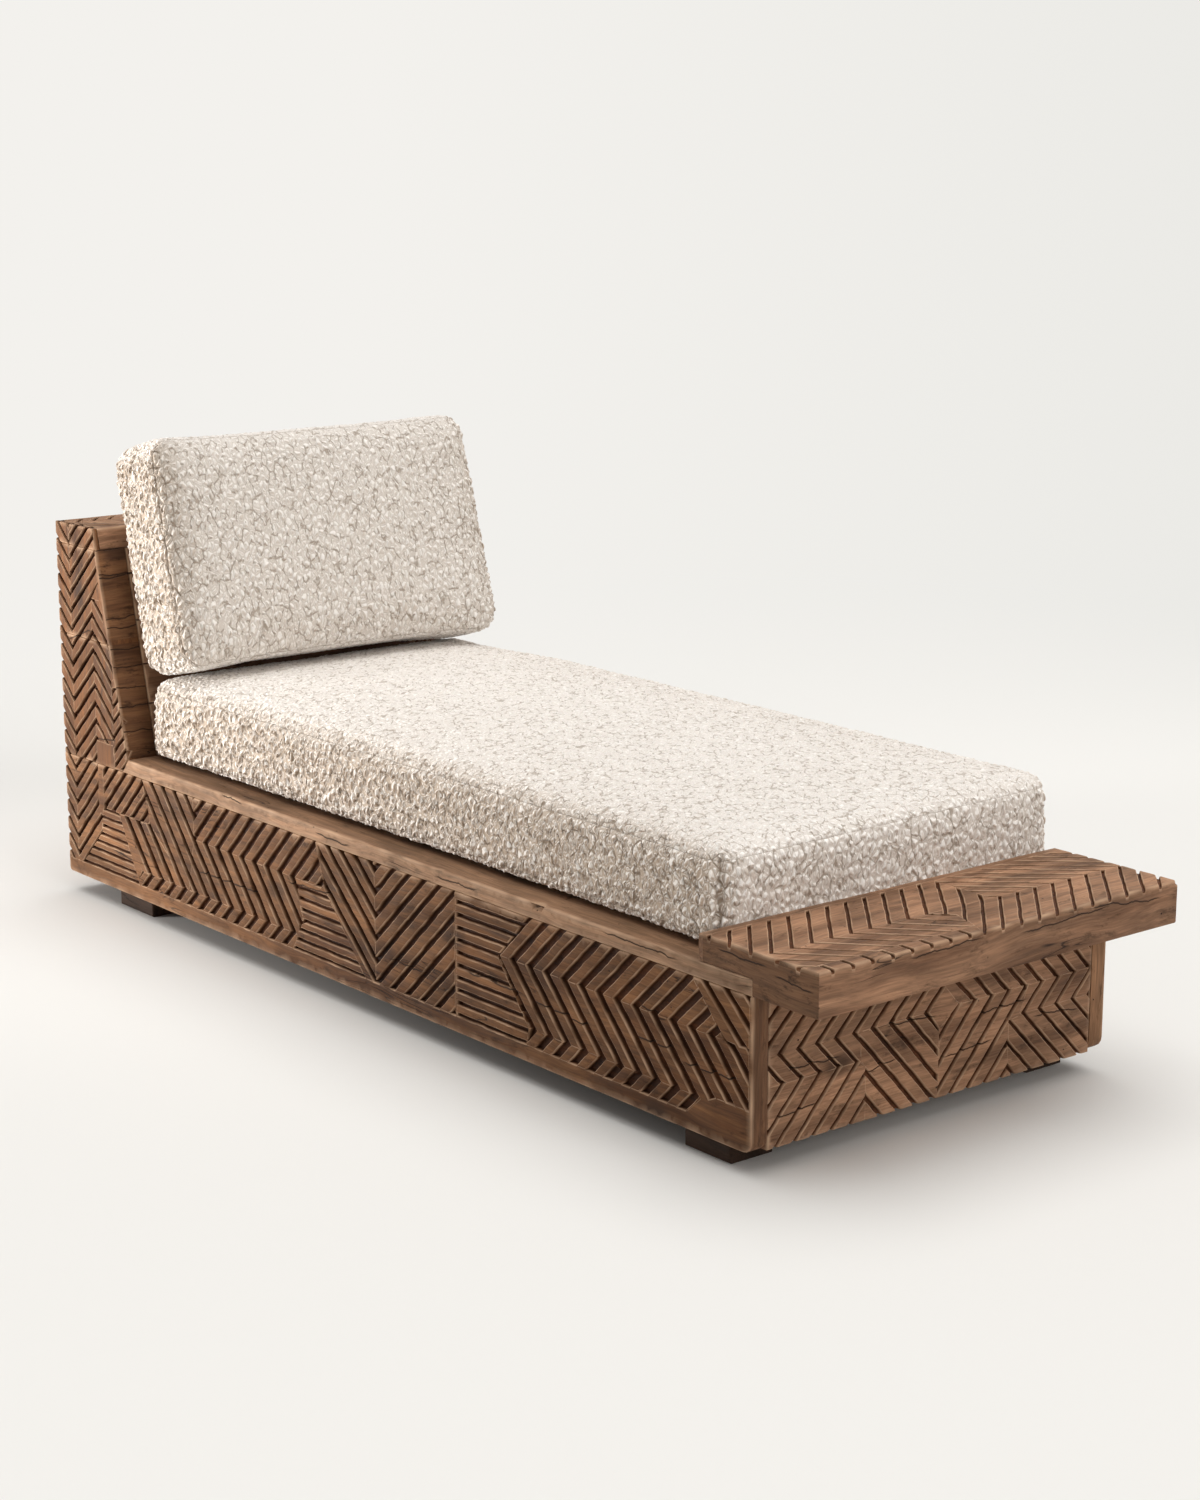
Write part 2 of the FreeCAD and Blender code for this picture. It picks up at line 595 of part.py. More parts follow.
# Feet under the cross beams, pegged from below
foot_pegs = []
for end, foot_start_x, foot_length in (
    ("head", head_x + head_foot_from_head, head_foot_length),
    ("tail", tail_x - tail_foot_from_tail - tail_foot_length, tail_foot_length),
):
    foot_end_x = foot_start_x + foot_length
    foot_middle_x = foot_start_x + foot_length / 2
    foot_outer_y = near_y + foot_inset
    foot_middle_y = (near_inner_y + foot_outer_y + foot_width) / 2
    near_pegs = []
    near_cuts = []
    for side in (-1, 1):
        spot = V(foot_middle_x + side * foot_peg_spacing / 2, foot_middle_y, foot_peg_recess)
        near_pegs.append(stick(spot, UP, foot_peg_length, foot_peg_radius, peg_sides))
        mouth = V(spot.x, spot.y, 0)
        room = foot_peg_recess + foot_peg_length
        near_cuts.append(stick_hole(mouth, UP, room, foot_peg_radius, peg_sides))
    far_cuts = [mirrored(cut) for cut in near_cuts]
    foot_pegs.extend(near_pegs + [mirrored(peg) for peg in near_pegs])
    near_foot = block(foot_start_x, foot_end_x, foot_outer_y, foot_outer_y + foot_width, 0, foot_height)
    near_foot = near_foot.cut(near_cuts)
    beam = block(foot_start_x, foot_end_x, near_inner_y, far_inner_y, base_z, base_z + beam_height)
    write(f"near_{end}_foot", single(near_foot))
    write(f"far_{end}_foot", single(mirrored(near_foot)))
    write(f"{end}_bottom_beam", single(beam.cut(near_cuts + far_cuts)))
write("foot_pegs", Part.makeCompound(foot_pegs))


# Cushions: crowned closed forms, lofted from end to end through rounded sections
rounding_shares = (0.0, 0.3, 1.0)
rounding_depth_share = 0.72
corner_easing_share = 0.5
crown_easing_share = 0.3


def side_curve(start, end, outward, crown):
    """One side of a section, straight or bowed outward by flat facets on an arc."""
    if crown <= 0:
        return [Part.LineSegment(start, end).toShape()]
    chord = (end - start).Length
    radius = ((chord / 2) ** 2 + crown ** 2) / (2 * crown)
    middle = (start + end) / 2 - outward * (radius - crown)
    along = (end - start).normalize()
    half_turn = math.asin(chord / 2 / radius)
    points = []
    for index in range(crown_facets + 1):
        turn = half_turn * (2 * index / crown_facets - 1)
        points.append(middle + along * (radius * math.sin(turn)) + outward * (radius * math.cos(turn)))
    return [Part.LineSegment(one, two).toShape() for one, two in zip(points[:-1], points[1:])]


def cushion_section(corner, a_axis, b_axis, a_size, b_size, radius, crowns):
    """A rounded rectangle from its lowest corner, with crowns on its -b, +a, +b and -a sides."""
    a0 = radius
    a1 = a_size - radius
    b0 = radius
    b1 = b_size - radius
    diagonal = radius * math.sin(math.radians(45))

    def at(a, b):
        return corner + a_axis * a + b_axis * b

    under, front, top, rear = crowns
    edges = side_curve(at(a0, 0), at(a1, 0), -b_axis, under)
    edges.append(Part.Arc(at(a1, 0), at(a1 + diagonal, b0 - diagonal), at(a_size, b0)).toShape())
    edges += side_curve(at(a_size, b0), at(a_size, b1), a_axis, front)
    edges.append(Part.Arc(at(a_size, b1), at(a1 + diagonal, b1 + diagonal), at(a1, b_size)).toShape())
    edges += side_curve(at(a1, b_size), at(a0, b_size), b_axis, top)
    edges.append(Part.Arc(at(a0, b_size), at(a0 - diagonal, b1 + diagonal), at(0, b1)).toShape())
    edges += side_curve(at(0, b1), at(0, b0), -a_axis, rear)
    edges.append(Part.Arc(at(0, b0), at(a0 - diagonal, b0 - diagonal), at(a0, 0)).toShape())
    return Part.Wire(edges)


def end_stations(length, radius, middle_shares):
    """Places along a cushion with how far the section there is drawn in round the end edges."""
    stations = []
    for share in rounding_shares:
        inset = radius * (1 - math.sqrt(1 - (1 - share) ** 2)) * rounding_depth_share
        stations.append((radius * share, inset))
    far_stations = [(length - place, inset) for place, inset in reversed(stations)]
    return stations + [(length * share, 0.0) for share in middle_shares] + far_stations


# Seat cushion on the deck, flattened where the back cushion stands on it
seat_start_x = head_x + head_foot_depth + seat_head_gap
seat_end_x = shelf_start_x - seat_end_gap
seat_length = seat_end_x - seat_start_x
seat_width = base_width - 2 * seat_side_margin
seat_middle_y = seat_far_shift
seat_bottom_z = deck_z + cushion_gap
seat_middle_shares = (0.15, 0.27, 0.55, 0.85)
seat_crown_shares = {0.0: 0.2, 0.15: 0.2, 0.27: 0.8, 0.55: 1.0, 0.85: 0.95, 1.0: 0.8}
seat_sections = []
for place, inset in end_stations(seat_length, seat_radius, seat_middle_shares):
    share = min(seat_crown_shares, key=lambda key: abs(key - place / seat_length))
    crown = max(seat_crown * seat_crown_shares[share] - inset * crown_easing_share, seat_crown_under_back)
    waist = 4 * seat_plan_waist * (place / seat_length) * (1 - place / seat_length)
    width = seat_width - 2 * inset - 2 * waist
    height = seat_side_height - 2 * inset
    corner = V(seat_start_x + place, seat_middle_y - width / 2, seat_bottom_z + inset)
    crowns = (0, seat_side_crown, crown, seat_side_crown)
    radius = seat_radius - inset * corner_easing_share
    seat_sections.append(cushion_section(corner, ACROSS, UP, width, height, radius, crowns))
seat_cushion = Part.makeLoft(seat_sections, True, True)
write("seat_cushion", single(seat_cushion))

# Back cushion: its lower rear edge rests on the seat, and its crowned rear leans on the headboard's slope
tilt = math.radians(back_tilt_degrees)
back_forward = V(math.cos(tilt), 0, math.sin(tilt))
back_up = V(-math.sin(tilt), 0, math.cos(tilt))
seat_top_z = seat_bottom_z + seat_side_height + seat_crown_under_back
back_corner_z = seat_top_z + cushion_gap - back_radius * (math.sin(tilt) + math.cos(tilt) - 1)
rear_chord = back_height - 2 * back_radius
rear_radius = ((rear_chord / 2) ** 2 + back_rear_crown ** 2) / (2 * back_rear_crown)
rear_middle = back_forward * (rear_radius - back_rear_crown) + back_up * (back_height / 2)
lean_edge = V(slope_x(head_top_z), 0, head_top_z)
rear_middle_rise = back_corner_z + rear_middle.z - lean_edge.z
lean_reach = (rear_radius + cushion_gap - rear_middle_rise * slope_out.z) / slope_out.x
back_corner_x = lean_edge.x + lean_reach - rear_middle.x
back_middle_shares = (0.14, 0.3, 0.5, 0.7, 0.86)
back_fullness_power = 0.6
back_least_fullness = 0.15
back_start_y = back_far_shift - back_width / 2
back_sections = []
for place, inset in end_stations(back_width, back_radius, back_middle_shares):
    bow = max(math.sin(math.pi * place / back_width), 0.0)
    fullness = max(bow ** back_fullness_power, back_least_fullness)
    waist = back_plan_waist * fullness
    depth = back_thickness - 2 * inset
    height = back_height - 2 * inset - waist
    radius = back_radius - inset * corner_easing_share
    corner = V(back_corner_x, back_start_y + place, back_corner_z) + (back_forward + back_up) * inset
    crowns = (back_edge_crown * fullness, back_front_crown * fullness, back_edge_crown * fullness,
              back_rear_crown * fullness)
    back_sections.append(cushion_section(corner, back_forward, back_up, depth, height, radius, crowns))
back_cushion = Part.makeLoft(back_sections, True, True)
write("back_cushion", single(back_cushion))
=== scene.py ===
import math
import random

import bmesh
import bpy
import numpy as np
from mathutils import Matrix, Vector, noise
from mathutils.geometry import delaunay_2d_cdt
from mathutils.kdtree import KDTree


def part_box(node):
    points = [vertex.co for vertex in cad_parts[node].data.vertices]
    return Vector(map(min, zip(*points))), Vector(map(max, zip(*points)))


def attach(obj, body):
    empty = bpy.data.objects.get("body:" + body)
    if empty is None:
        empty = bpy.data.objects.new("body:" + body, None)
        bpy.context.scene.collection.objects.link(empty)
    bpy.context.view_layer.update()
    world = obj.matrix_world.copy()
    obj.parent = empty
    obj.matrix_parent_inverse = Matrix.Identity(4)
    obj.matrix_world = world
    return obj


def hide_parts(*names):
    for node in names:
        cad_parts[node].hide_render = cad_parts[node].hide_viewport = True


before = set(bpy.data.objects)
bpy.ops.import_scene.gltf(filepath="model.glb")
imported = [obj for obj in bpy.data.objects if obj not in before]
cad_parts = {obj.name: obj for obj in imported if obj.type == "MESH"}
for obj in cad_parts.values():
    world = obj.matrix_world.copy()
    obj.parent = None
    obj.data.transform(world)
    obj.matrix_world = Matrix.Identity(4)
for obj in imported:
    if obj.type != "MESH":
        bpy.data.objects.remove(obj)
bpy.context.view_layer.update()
noise.seed_set(1)  # without it the clock seeds noise_vector, and the carving wobbles differently each run

# Studio: the camera stands off the near foot corner at eye height. A very big soft lamp hangs overhead, a
# weaker one fills the foot end, and a low spot off the head end lights the near side. The floor is plain and
# pale and runs out into the same pale background, which dims a little to the right.
scene = bpy.context.scene
scene.view_settings.view_transform = "Standard"

camera_place, camera_turn, camera_dip = (3.981, -3.127, 1.602), math.radians(50.922), math.radians(12.940)
camera = bpy.data.objects.new("camera", bpy.data.cameras.new("camera"))
camera.data.lens = 67.88
camera.data.sensor_width = 36
camera.data.clip_end = 60
camera.location = camera_place
camera.rotation_euler = (math.pi / 2 - camera_dip, 0, camera_turn)
scene.collection.objects.link(camera)
scene.camera = camera


def new_lamp(name, kind, towards, strength, colour):
    """A lamp that shines from a direction."""
    lamp = bpy.data.objects.new(name, bpy.data.lights.new(name, kind))
    lamp.data.energy = strength
    lamp.data.color = colour
    lamp.rotation_euler = Vector(towards).to_track_quat("Z", "Y").to_euler()
    scene.collection.objects.link(lamp)
    return lamp


overhead_lamp = new_lamp("overhead_lamp", "SUN", (0.03, 0.06, 0.99), 2.35, (1, 0.985, 0.965))
overhead_lamp.data.angle = math.radians(75)
foot_lamp = new_lamp("foot_lamp", "SUN", (0.93, 0.10, 0.36), 0.8, (1, 0.97, 0.935))
foot_lamp.data.angle = math.radians(36)
head_spot = new_lamp("head_spot", "SPOT", (-1.8, -2.65, -0.22), 770, (1, 0.98, 0.955))
head_spot.location = (-2.75, -3.0, 0.5)
head_spot.data.spot_size = math.radians(47)
head_spot.data.spot_blend = 1.0
head_spot.data.shadow_soft_size = 0.5


def add_node(tree, kind, values=(), **settings):
    """A node with settings. Its inputs, by name or number, take values or other nodes' outputs."""
    node = tree.nodes.new(kind)
    for key, value in settings.items():
        setattr(node, key, value)
    for key, value in dict(values).items():
        if isinstance(value, bpy.types.NodeSocket):
            tree.links.new(value, node.inputs[key])
        else:
            node.inputs[key].default_value = value
    return node


backdrop_left, backdrop_right = (0.896, 0.880, 0.847, 1), (0.831, 0.823, 0.791, 1)


def backdrop_shade(tree, way):
    """The background's colour in a direction from the camera."""
    to_the_right = (math.cos(camera_turn), math.sin(camera_turn), 0)
    sideways = add_node(tree, "ShaderNodeVectorMath", {0: way, 1: to_the_right}, operation="DOT_PRODUCT")
    share = add_node(tree, "ShaderNodeMapRange", {"Value": sideways.outputs["Value"], "From Min": -0.08,
                                                  "From Max": 0.22})
    shade = add_node(tree, "ShaderNodeMix",
                     {"Factor": share.outputs[0], "A": backdrop_left, "B": backdrop_right}, data_type="RGBA")
    return shade.outputs["Result"]


world = bpy.data.worlds.new("studio")
world.use_nodes = True
scene.world = world
room = world.node_tree
room.nodes.clear()
sky = add_node(room, "ShaderNodeBackground", {"Color": (1, 0.985, 0.965, 1), "Strength": 0.30})
looking = add_node(room, "ShaderNodeTexCoord")
backdrop = add_node(room, "ShaderNodeBackground", {"Color": backdrop_shade(room, looking.outputs["Object"])})
rays = add_node(room, "ShaderNodeLightPath")
seen = add_node(room, "ShaderNodeMath", {0: rays.outputs["Is Camera Ray"], 1: rays.outputs["Is Glossy Ray"]},
                operation="MAXIMUM")
seen_through = add_node(room, "ShaderNodeMath", {0: seen.outputs[0], 1: rays.outputs["Is Transmission Ray"]},
                        operation="MAXIMUM")
choose = add_node(room, "ShaderNodeMixShader",
                  {0: seen_through.outputs[0], 1: sky.outputs[0], 2: backdrop.outputs[0]})
add_node(room, "ShaderNodeOutputWorld", {0: choose.outputs[0]})


def new_material(name):
    """An empty node material and its tree."""
    material = bpy.data.materials.new(name)
    material.use_nodes = True
    material.node_tree.nodes.clear()
    return material, material.node_tree


floor_paint, tree = new_material("floor_paint")
place = add_node(tree, "ShaderNodeTexCoord")
reach = add_node(tree, "ShaderNodeVectorMath", {0: place.outputs["Object"]}, operation="LENGTH")
fade = add_node(tree, "ShaderNodeMapRange", {"Value": reach.outputs["Value"], "From Min": 1.9, "From Max": 4.6},
                interpolation_type="SMOOTHSTEP")
rays = add_node(tree, "ShaderNodeLightPath")
far_seen = add_node(tree, "ShaderNodeMath", {0: fade.outputs[0], 1: rays.outputs["Is Camera Ray"]},
                    operation="MULTIPLY")
paint = add_node(tree, "ShaderNodeBsdfDiffuse", {"Color": (0.80, 0.794, 0.774, 1)})
away = add_node(tree, "ShaderNodeVectorMath", {0: place.outputs["Object"], 1: camera_place},
                operation="SUBTRACT")
way = add_node(tree, "ShaderNodeVectorMath", {0: away.outputs[0]}, operation="NORMALIZE")
glow = add_node(tree, "ShaderNodeEmission", {"Color": backdrop_shade(tree, way.outputs[0])})
blend = add_node(tree, "ShaderNodeMixShader", {0: far_seen.outputs[0], 1: paint.outputs[0], 2: glow.outputs[0]})
add_node(tree, "ShaderNodeOutputMaterial", {"Surface": blend.outputs[0]})

floor_reach = 25
floor_mesh = bpy.data.meshes.new("floor")
floor_corners = [(x * floor_reach, y * floor_reach, 0) for x, y in ((-1, -1), (1, -1), (1, 1), (-1, 1))]
floor_mesh.from_pydata(floor_corners, [], [(0, 1, 2, 3)])
floor_mesh.materials.append(floor_paint)
floor = bpy.data.objects.new("floor", floor_mesh)
scene.collection.objects.link(floor)

# Carved wood: old planks of a warm mid-brown hardwood, oiled and worn. Long grain with dark smudges, fine
# fibres, drying cracks, a few knots and worm holes. The carved bars are pale along their edges, partly from
# wear and partly a painted highlight, and the grooves are darkened with dirt and painted shade.
weathered_grain = bpy.data.node_groups.new("weathered_grain", "ShaderNodeTree")
for name, kind, value in (
    ("Grain", "NodeSocketVector", None),
    ("Pale", "NodeSocketColor", (0.318, 0.174, 0.101, 1)),
    ("Deep", "NodeSocketColor", (0.145, 0.073, 0.041, 1)),
    ("Smudges", "NodeSocketFloat", 1.0),
    ("Fibres", "NodeSocketFloat", 1.0),
):
    socket = weathered_grain.interface.new_socket(name, in_out="INPUT", socket_type=kind)
    if value is not None:
        socket.default_value = value
for name, kind in (("Colour", "NodeSocketColor"), ("Roughness", "NodeSocketFloat"),
                   ("Height", "NodeSocketFloat")):
    weathered_grain.interface.new_socket(name, in_out="OUTPUT", socket_type=kind)

tree = weathered_grain
grain_in = add_node(tree, "NodeGroupInput")


def scaled(tree, vector, scale):
    """A vector stretched by a plain scale."""
    return add_node(tree, "ShaderNodeVectorMath", {0: vector, 1: scale}, operation="MULTIPLY").outputs[0]


def calc(tree, operation, *values):
    """One sum on numbers or sockets."""
    return add_node(tree, "ShaderNodeMath", enumerate(values), operation=operation).outputs[0]


def ramp(tree, value, low, high, out_low=0.0, out_high=1.0):
    """A value taken smoothly from one range to another."""
    node = add_node(tree, "ShaderNodeMapRange", {"Value": value, "From Min": low, "From Max": high,
                                                 "To Min": out_low, "To Max": out_high},
                    interpolation_type="SMOOTHSTEP")
    return node.outputs[0]


def grain_noise(tree, vector, scale, detail=3.0, rough=0.55):
    """A noise stretched along the grain."""
    return add_node(tree, "ShaderNodeTexNoise", {"Vector": scaled(tree, vector, scale), "Scale": 1.0,
                                                 "Detail": detail, "Roughness": rough}).outputs["Fac"]


def tinted(tree, colour, factor, tint, how="MIX"):
    """A colour with another laid on it where the factor says."""
    return add_node(tree, "ShaderNodeMix", {"Factor": factor, "A": colour, "B": tint}, data_type="RGBA",
                    blend_type=how).outputs["Result"]


def wandered(tree, place, scale, detail, reach):
    """A place moved about by a noise, by up to half the reach each way."""
    wander = add_node(tree, "ShaderNodeTexNoise", {"Vector": place, "Scale": scale, "Detail": detail})
    centred = add_node(tree, "ShaderNodeVectorMath", {0: wander.outputs["Color"], 1: (0.5, 0.5, 0.5)},
                       operation="SUBTRACT")
    return add_node(tree, "ShaderNodeVectorMath", {0: centred.outputs[0], 1: reach, 2: place},
                    operation="MULTIPLY_ADD").outputs[0]


grain = wandered(tree, grain_in.outputs["Grain"], 3.5, 2.0, (0.02, 0.05, 0.05))
bands = grain_noise(tree, grain, (1.6, 22, 22), 4.0, 0.6)
clouds = grain_noise(tree, grain, (5, 11, 11), 3.0, 0.5)
fibres = grain_noise(tree, grain, (16, 380, 380), 3.0, 0.6)
streaks = grain_noise(tree, grain, (5, 120, 120), 4.0, 0.65)
colour = tinted(tree, grain_in.outputs["Deep"], ramp(tree, bands, 0.28, 0.62), grain_in.outputs["Pale"])
tone = calc(tree, "MULTIPLY", ramp(tree, streaks, 0.33, 0.67, 0.82, 1.16),
            ramp(tree, clouds, 0.3, 0.7, 0.74, 1.18))
tone = calc(tree, "MULTIPLY", tone, ramp(tree, fibres, 0.3, 0.7, 0.80, 1.14))
blotches = grain_noise(tree, grain, (14, 38, 38), 5.0, 0.75)
smudge = calc(tree, "MULTIPLY", ramp(tree, blotches, 0.54, 0.70, 0, 0.5), grain_in.outputs["Smudges"])
tone = calc(tree, "MULTIPLY", tone, calc(tree, "SUBTRACT", 1.0, smudge))

split = grain_noise(tree, grain, (2.2, 42, 42), 2.0, 0.5)
split_line = ramp(tree, calc(tree, "ABSOLUTE", calc(tree, "SUBTRACT", split, 0.5)), 0.0, 0.012, 1, 0)
split_place = ramp(tree, grain_noise(tree, grain, (4, 9, 9), 2.0), 0.56, 0.63)
crack = calc(tree, "MULTIPLY", split_line, split_place)

knot_cells = add_node(tree, "ShaderNodeTexVoronoi", {"Vector": scaled(tree, grain, (3.6, 6.5, 6.5)),
                                                     "Scale": 1.0, "Randomness": 1.0}, feature="F1")
knot = ramp(tree, knot_cells.outputs["Distance"], 0.06, 0.17, 1, 0)
worm_cells = add_node(tree, "ShaderNodeTexVoronoi", {"Vector": grain_in.outputs["Grain"], "Scale": 34.0,
                                                     "Randomness": 1.0}, feature="F1")
worm = calc(tree, "MULTIPLY", ramp(tree, worm_cells.outputs["Distance"], 0.04, 0.08, 1, 0),
            ramp(tree, grain_noise(tree, grain, (9, 9, 9), 1.0), 0.48, 0.54))

knot_brown, hole_black = (0.035, 0.018, 0.011, 1), (0.016, 0.009, 0.006, 1)
shade = add_node(tree, "ShaderNodeVectorMath", {0: colour, "Scale": tone}, operation="SCALE")
colour = tinted(tree, shade.outputs[0], calc(tree, "MULTIPLY", knot, 0.75), knot_brown)
colour = tinted(tree, colour, calc(tree, "MAXIMUM", calc(tree, "MULTIPLY", crack, 0.85), worm), hole_black)
height = calc(tree, "MULTIPLY_ADD", fibres, 0.00035, calc(tree, "MULTIPLY", streaks, 0.0007))
height = calc(tree, "MULTIPLY_ADD", clouds, 0.0012, height)
height = calc(tree, "MULTIPLY_ADD", calc(tree, "MAXIMUM", crack, worm), -0.0016, height)
add_node(tree, "NodeGroupOutput", {"Colour": colour, "Roughness": ramp(tree, streaks, 0.3, 0.7, 0.58, 0.74),
                                   "Height": height})


def crack_and_nick_shade_lines(tree, lines):
    """Dark lines on a face, cracks and painted nick shade, each from one along and up to another, a little
    unsteady.
    """
    line_half, line_fade, shake_rise = 0.0004, 0.0019, 0.014
    place = add_node(tree, "ShaderNodeTexCoord")
    apart = add_node(tree, "ShaderNodeSeparateXYZ", {0: place.outputs["Object"]})
    shake = grain_noise(tree, place.outputs["Object"], (26, 26, 5), 3.0)
    unsteady = calc(tree, "MULTIPLY_ADD", calc(tree, "SUBTRACT", shake, 0.5), shake_rise, apart.outputs["Z"])
    crack_and_nick_shade_mask = 0.0
    for axis, start, end, low, high in lines:
        along = apart.outputs[axis]
        level = ramp(tree, along, start, end, low, high)
        off = calc(tree, "ABSOLUTE", calc(tree, "SUBTRACT", unsteady, level))
        run_out = (end - start) * 0.15
        within = calc(tree, "MULTIPLY", ramp(tree, along, start, start + run_out),
                      ramp(tree, along, end - run_out, end, 1, 0))
        line = calc(tree, "MULTIPLY", ramp(tree, off, line_half, line_fade, 1, 0), within)
        crack_and_nick_shade_mask = calc(tree, "MAXIMUM", line, crack_and_nick_shade_mask)
    return crack_and_nick_shade_mask


def wood_material(name, turn=(0, 0, 0), shift=(0, 0, 0), pale=None, deep=None, smudges=1.0, carved=True,
                  crack_and_nick_shade=(), dirt_and_shade_tint=(0.36, 0.255, 0.19, 1)):
    """Weathered wood whose grain runs along the turned X of the object."""
    rub_and_highlight_tint, crack_and_nick_shade_black = (0.56, 0.37, 0.24, 1), (0.018, 0.009, 0.005, 1)
    material, tree = new_material(name)
    place = add_node(tree, "ShaderNodeTexCoord")
    laid = add_node(tree, "ShaderNodeMapping", {"Vector": place.outputs["Object"], "Location": shift,
                                                "Rotation": [math.radians(angle) for angle in turn]})
    wood = add_node(tree, "ShaderNodeGroup", node_tree=weathered_grain)
    tree.links.new(laid.outputs[0], wood.inputs["Grain"])
    wood.inputs["Smudges"].default_value = smudges
    if pale:
        wood.inputs["Pale"].default_value = pale
    if deep:
        wood.inputs["Deep"].default_value = deep
    colour = wood.outputs["Colour"]
    if carved:
        bar, rub_and_highlight, depth = (add_node(tree, "ShaderNodeAttribute", attribute_name=mark).outputs["Fac"]
                           for mark in ("bar_tone", "rubbed_and_highlighted", "cut_depth"))
        lit = add_node(tree, "ShaderNodeVectorMath", {0: colour, "Scale": bar}, operation="SCALE")
        # Pale rub along the edges: worn wood and a painted highlight.
        colour = tinted(tree, lit.outputs[0], calc(tree, "MULTIPLY", rub_and_highlight, 0.7), rub_and_highlight_tint)
        # The grooves are darkened by their cut depth: dirt and painted shade.
        colour = tinted(tree, colour, ramp(tree, depth, 0.03, 0.6), dirt_and_shade_tint, "MULTIPLY")
    height = wood.outputs["Height"]
    # Listed dark lines: drying cracks, and on the rail painted shade in its deepest nick.
    if crack_and_nick_shade:
        crack_and_nick_shade_mask = crack_and_nick_shade_lines(tree, crack_and_nick_shade)
        colour = tinted(tree, colour, calc(tree, "MULTIPLY", crack_and_nick_shade_mask, 0.88), crack_and_nick_shade_black)
        height = calc(tree, "MULTIPLY_ADD", crack_and_nick_shade_mask, -0.0018, height)
    bump = add_node(tree, "ShaderNodeBump", {"Height": height, "Strength": 0.8, "Distance": 1.0})
    skin = add_node(tree, "ShaderNodeBsdfPrincipled", {
        "Base Color": colour, "Roughness": wood.outputs["Roughness"], "Normal": bump.outputs[0],
        "IOR": 1.45, "Specular IOR Level": 0.16})
    add_node(tree, "ShaderNodeOutputMaterial", {"Surface": skin.outputs[0]})
    return material


# Side boards: one thick plank each side, its outside cut by hand with chisel and mallet into leaning bars
# that meet in chevrons, its bottom edge left plain. The far board is the near one's mirror twin.
bar_pitch = 0.0434
groove_depth = 0.009
edge_round = 0.0035
corner_share = 0.293
board_length, board_width, board_height, board_thickness = 2.1135, 0.8, 0.252, 0.035
head_x, tail_x, near_y, base_z = -1.1286, 0.9849, -0.4, 0.04
side_carving = (
    (((0, .119), (.02, .119), (.02, 1), (0, 1)), "up", -44, (.02, .468), .83, .33),
    (((.02, .119), (.0293, .119), (.0691, .448), (.0691, .575), (.0643, .627), (.0643, 1), (.02, 1)),
     "up", 44, (.02, .468), .83, .39),
    (((.0293, .119), (.0691, .448), (.0691, .575), (.0738, .647), (.1022, .647), (.1363, .119)),
     "up", 0, (.0473, .567), .42, .38),
    (((.0738, .647), (.0738, 1), (.1476, 1), (.1609, .647)), "along", 44, (.0908, .647), .846, .44),
    (((.1022, .647), (.1609, .647), (.2271, .242), (.1419, .242)), "along", -50, (.2583, .667), 1, .44),
    (((.1476, 1), (.1609, .647), (.2271, .242), (.2389, .667), (.2389, 1)),
     "along", -50, (.2583, .667), 1, .37),
    (((.2271, .242), (.2389, .667), (.4079, .667), (.4187, .377), (.4107, .242)),
     "along", -50, (.2583, .667), 1, .44),
    (((.2389, .667), (.2389, 1), (.44, 1), (.4533, .667)), "along", 45, (.2583, .667), 1, .44),
    (((.1315, .119), (.1419, .242), (.4107, .242), (.4022, .119)), "along", 43, (.3014, .242), .98, .45),
    (((.4022, .119), (.4107, .242), (.4187, .377), (.4079, .667), (.4533, .667), (.5134, .119)),
     "up", 0, (.4258, .607), .465, .37),
    (((.5134, .119), (.4533, .667), (.4424, 1), (.529, 1), (.529, .119)),
     "up", -42.5, (.529, .615), .945, .44),
    (((.529, .119), (.529, 1), (.6421, 1), (.6421, .119)), "along", 43, (.5735, .119), 1.048, .37),
    (((.6444, .119), (.6444, 1), (.7391, 1), (.6993, .655), (.7391, .242), (.7362, .119)),
     "up", 0, (.6624, .929), .516, .36),
    (((.6993, .667), (.7391, 1), (.9345, 1), (.97, .667)), "along", 43.5, (.7192, .667), 1.046, .44),
    (((.6993, .667), (.9969, .667), (.9969, .278), (.9619, .278), (.951, .242), (.7391, .242)),
     "along", -47, (.7192, .667), 1.046, .44),
    (((.7362, .119), (.7419, .242), (.9463, .242), (.9297, .119)), "along", 45, (.7665, .242), 1.046, .44),
    (((.9345, 1), (.97, .667), (.9969, .667), (.9969, 1)), "along", -42, (.9472, 1), 1.129, .37),
)


def read_carving(table, length, height):
    """A carved face's regions in metres: outline, and its grooves' lines a u + b v = start + n pitch."""
    regions = []
    for outline_shares, repeat, lean, anchor, pitch_share, groove_share in table:
        slope = math.tan(math.radians(lean))
        a, b = (1.0, -1.0 / slope) if repeat == "along" else (-slope, 1.0)
        start = a * anchor[0] * length + b * anchor[1] * height
        outline = [(u * length, v * height) for u, v in outline_shares]
        pitch = pitch_share * bar_pitch
        regions.append((outline, a, b, start, pitch, groove_share * pitch))
    return regions


def sides_of(outline):
    """The straight sides of an outline."""
    return list(zip(outline, outline[1:] + outline[:1]))


def inside(u, v, outline):
    """Whether a place is inside an outline."""
    odd = False
    for (u0, v0), (u1, v1) in sides_of(outline):
        if (v0 > v) != (v1 > v) and u < (u1 - u0) * (v - v0) / (v1 - v0) + u0:
            odd = not odd
    return odd


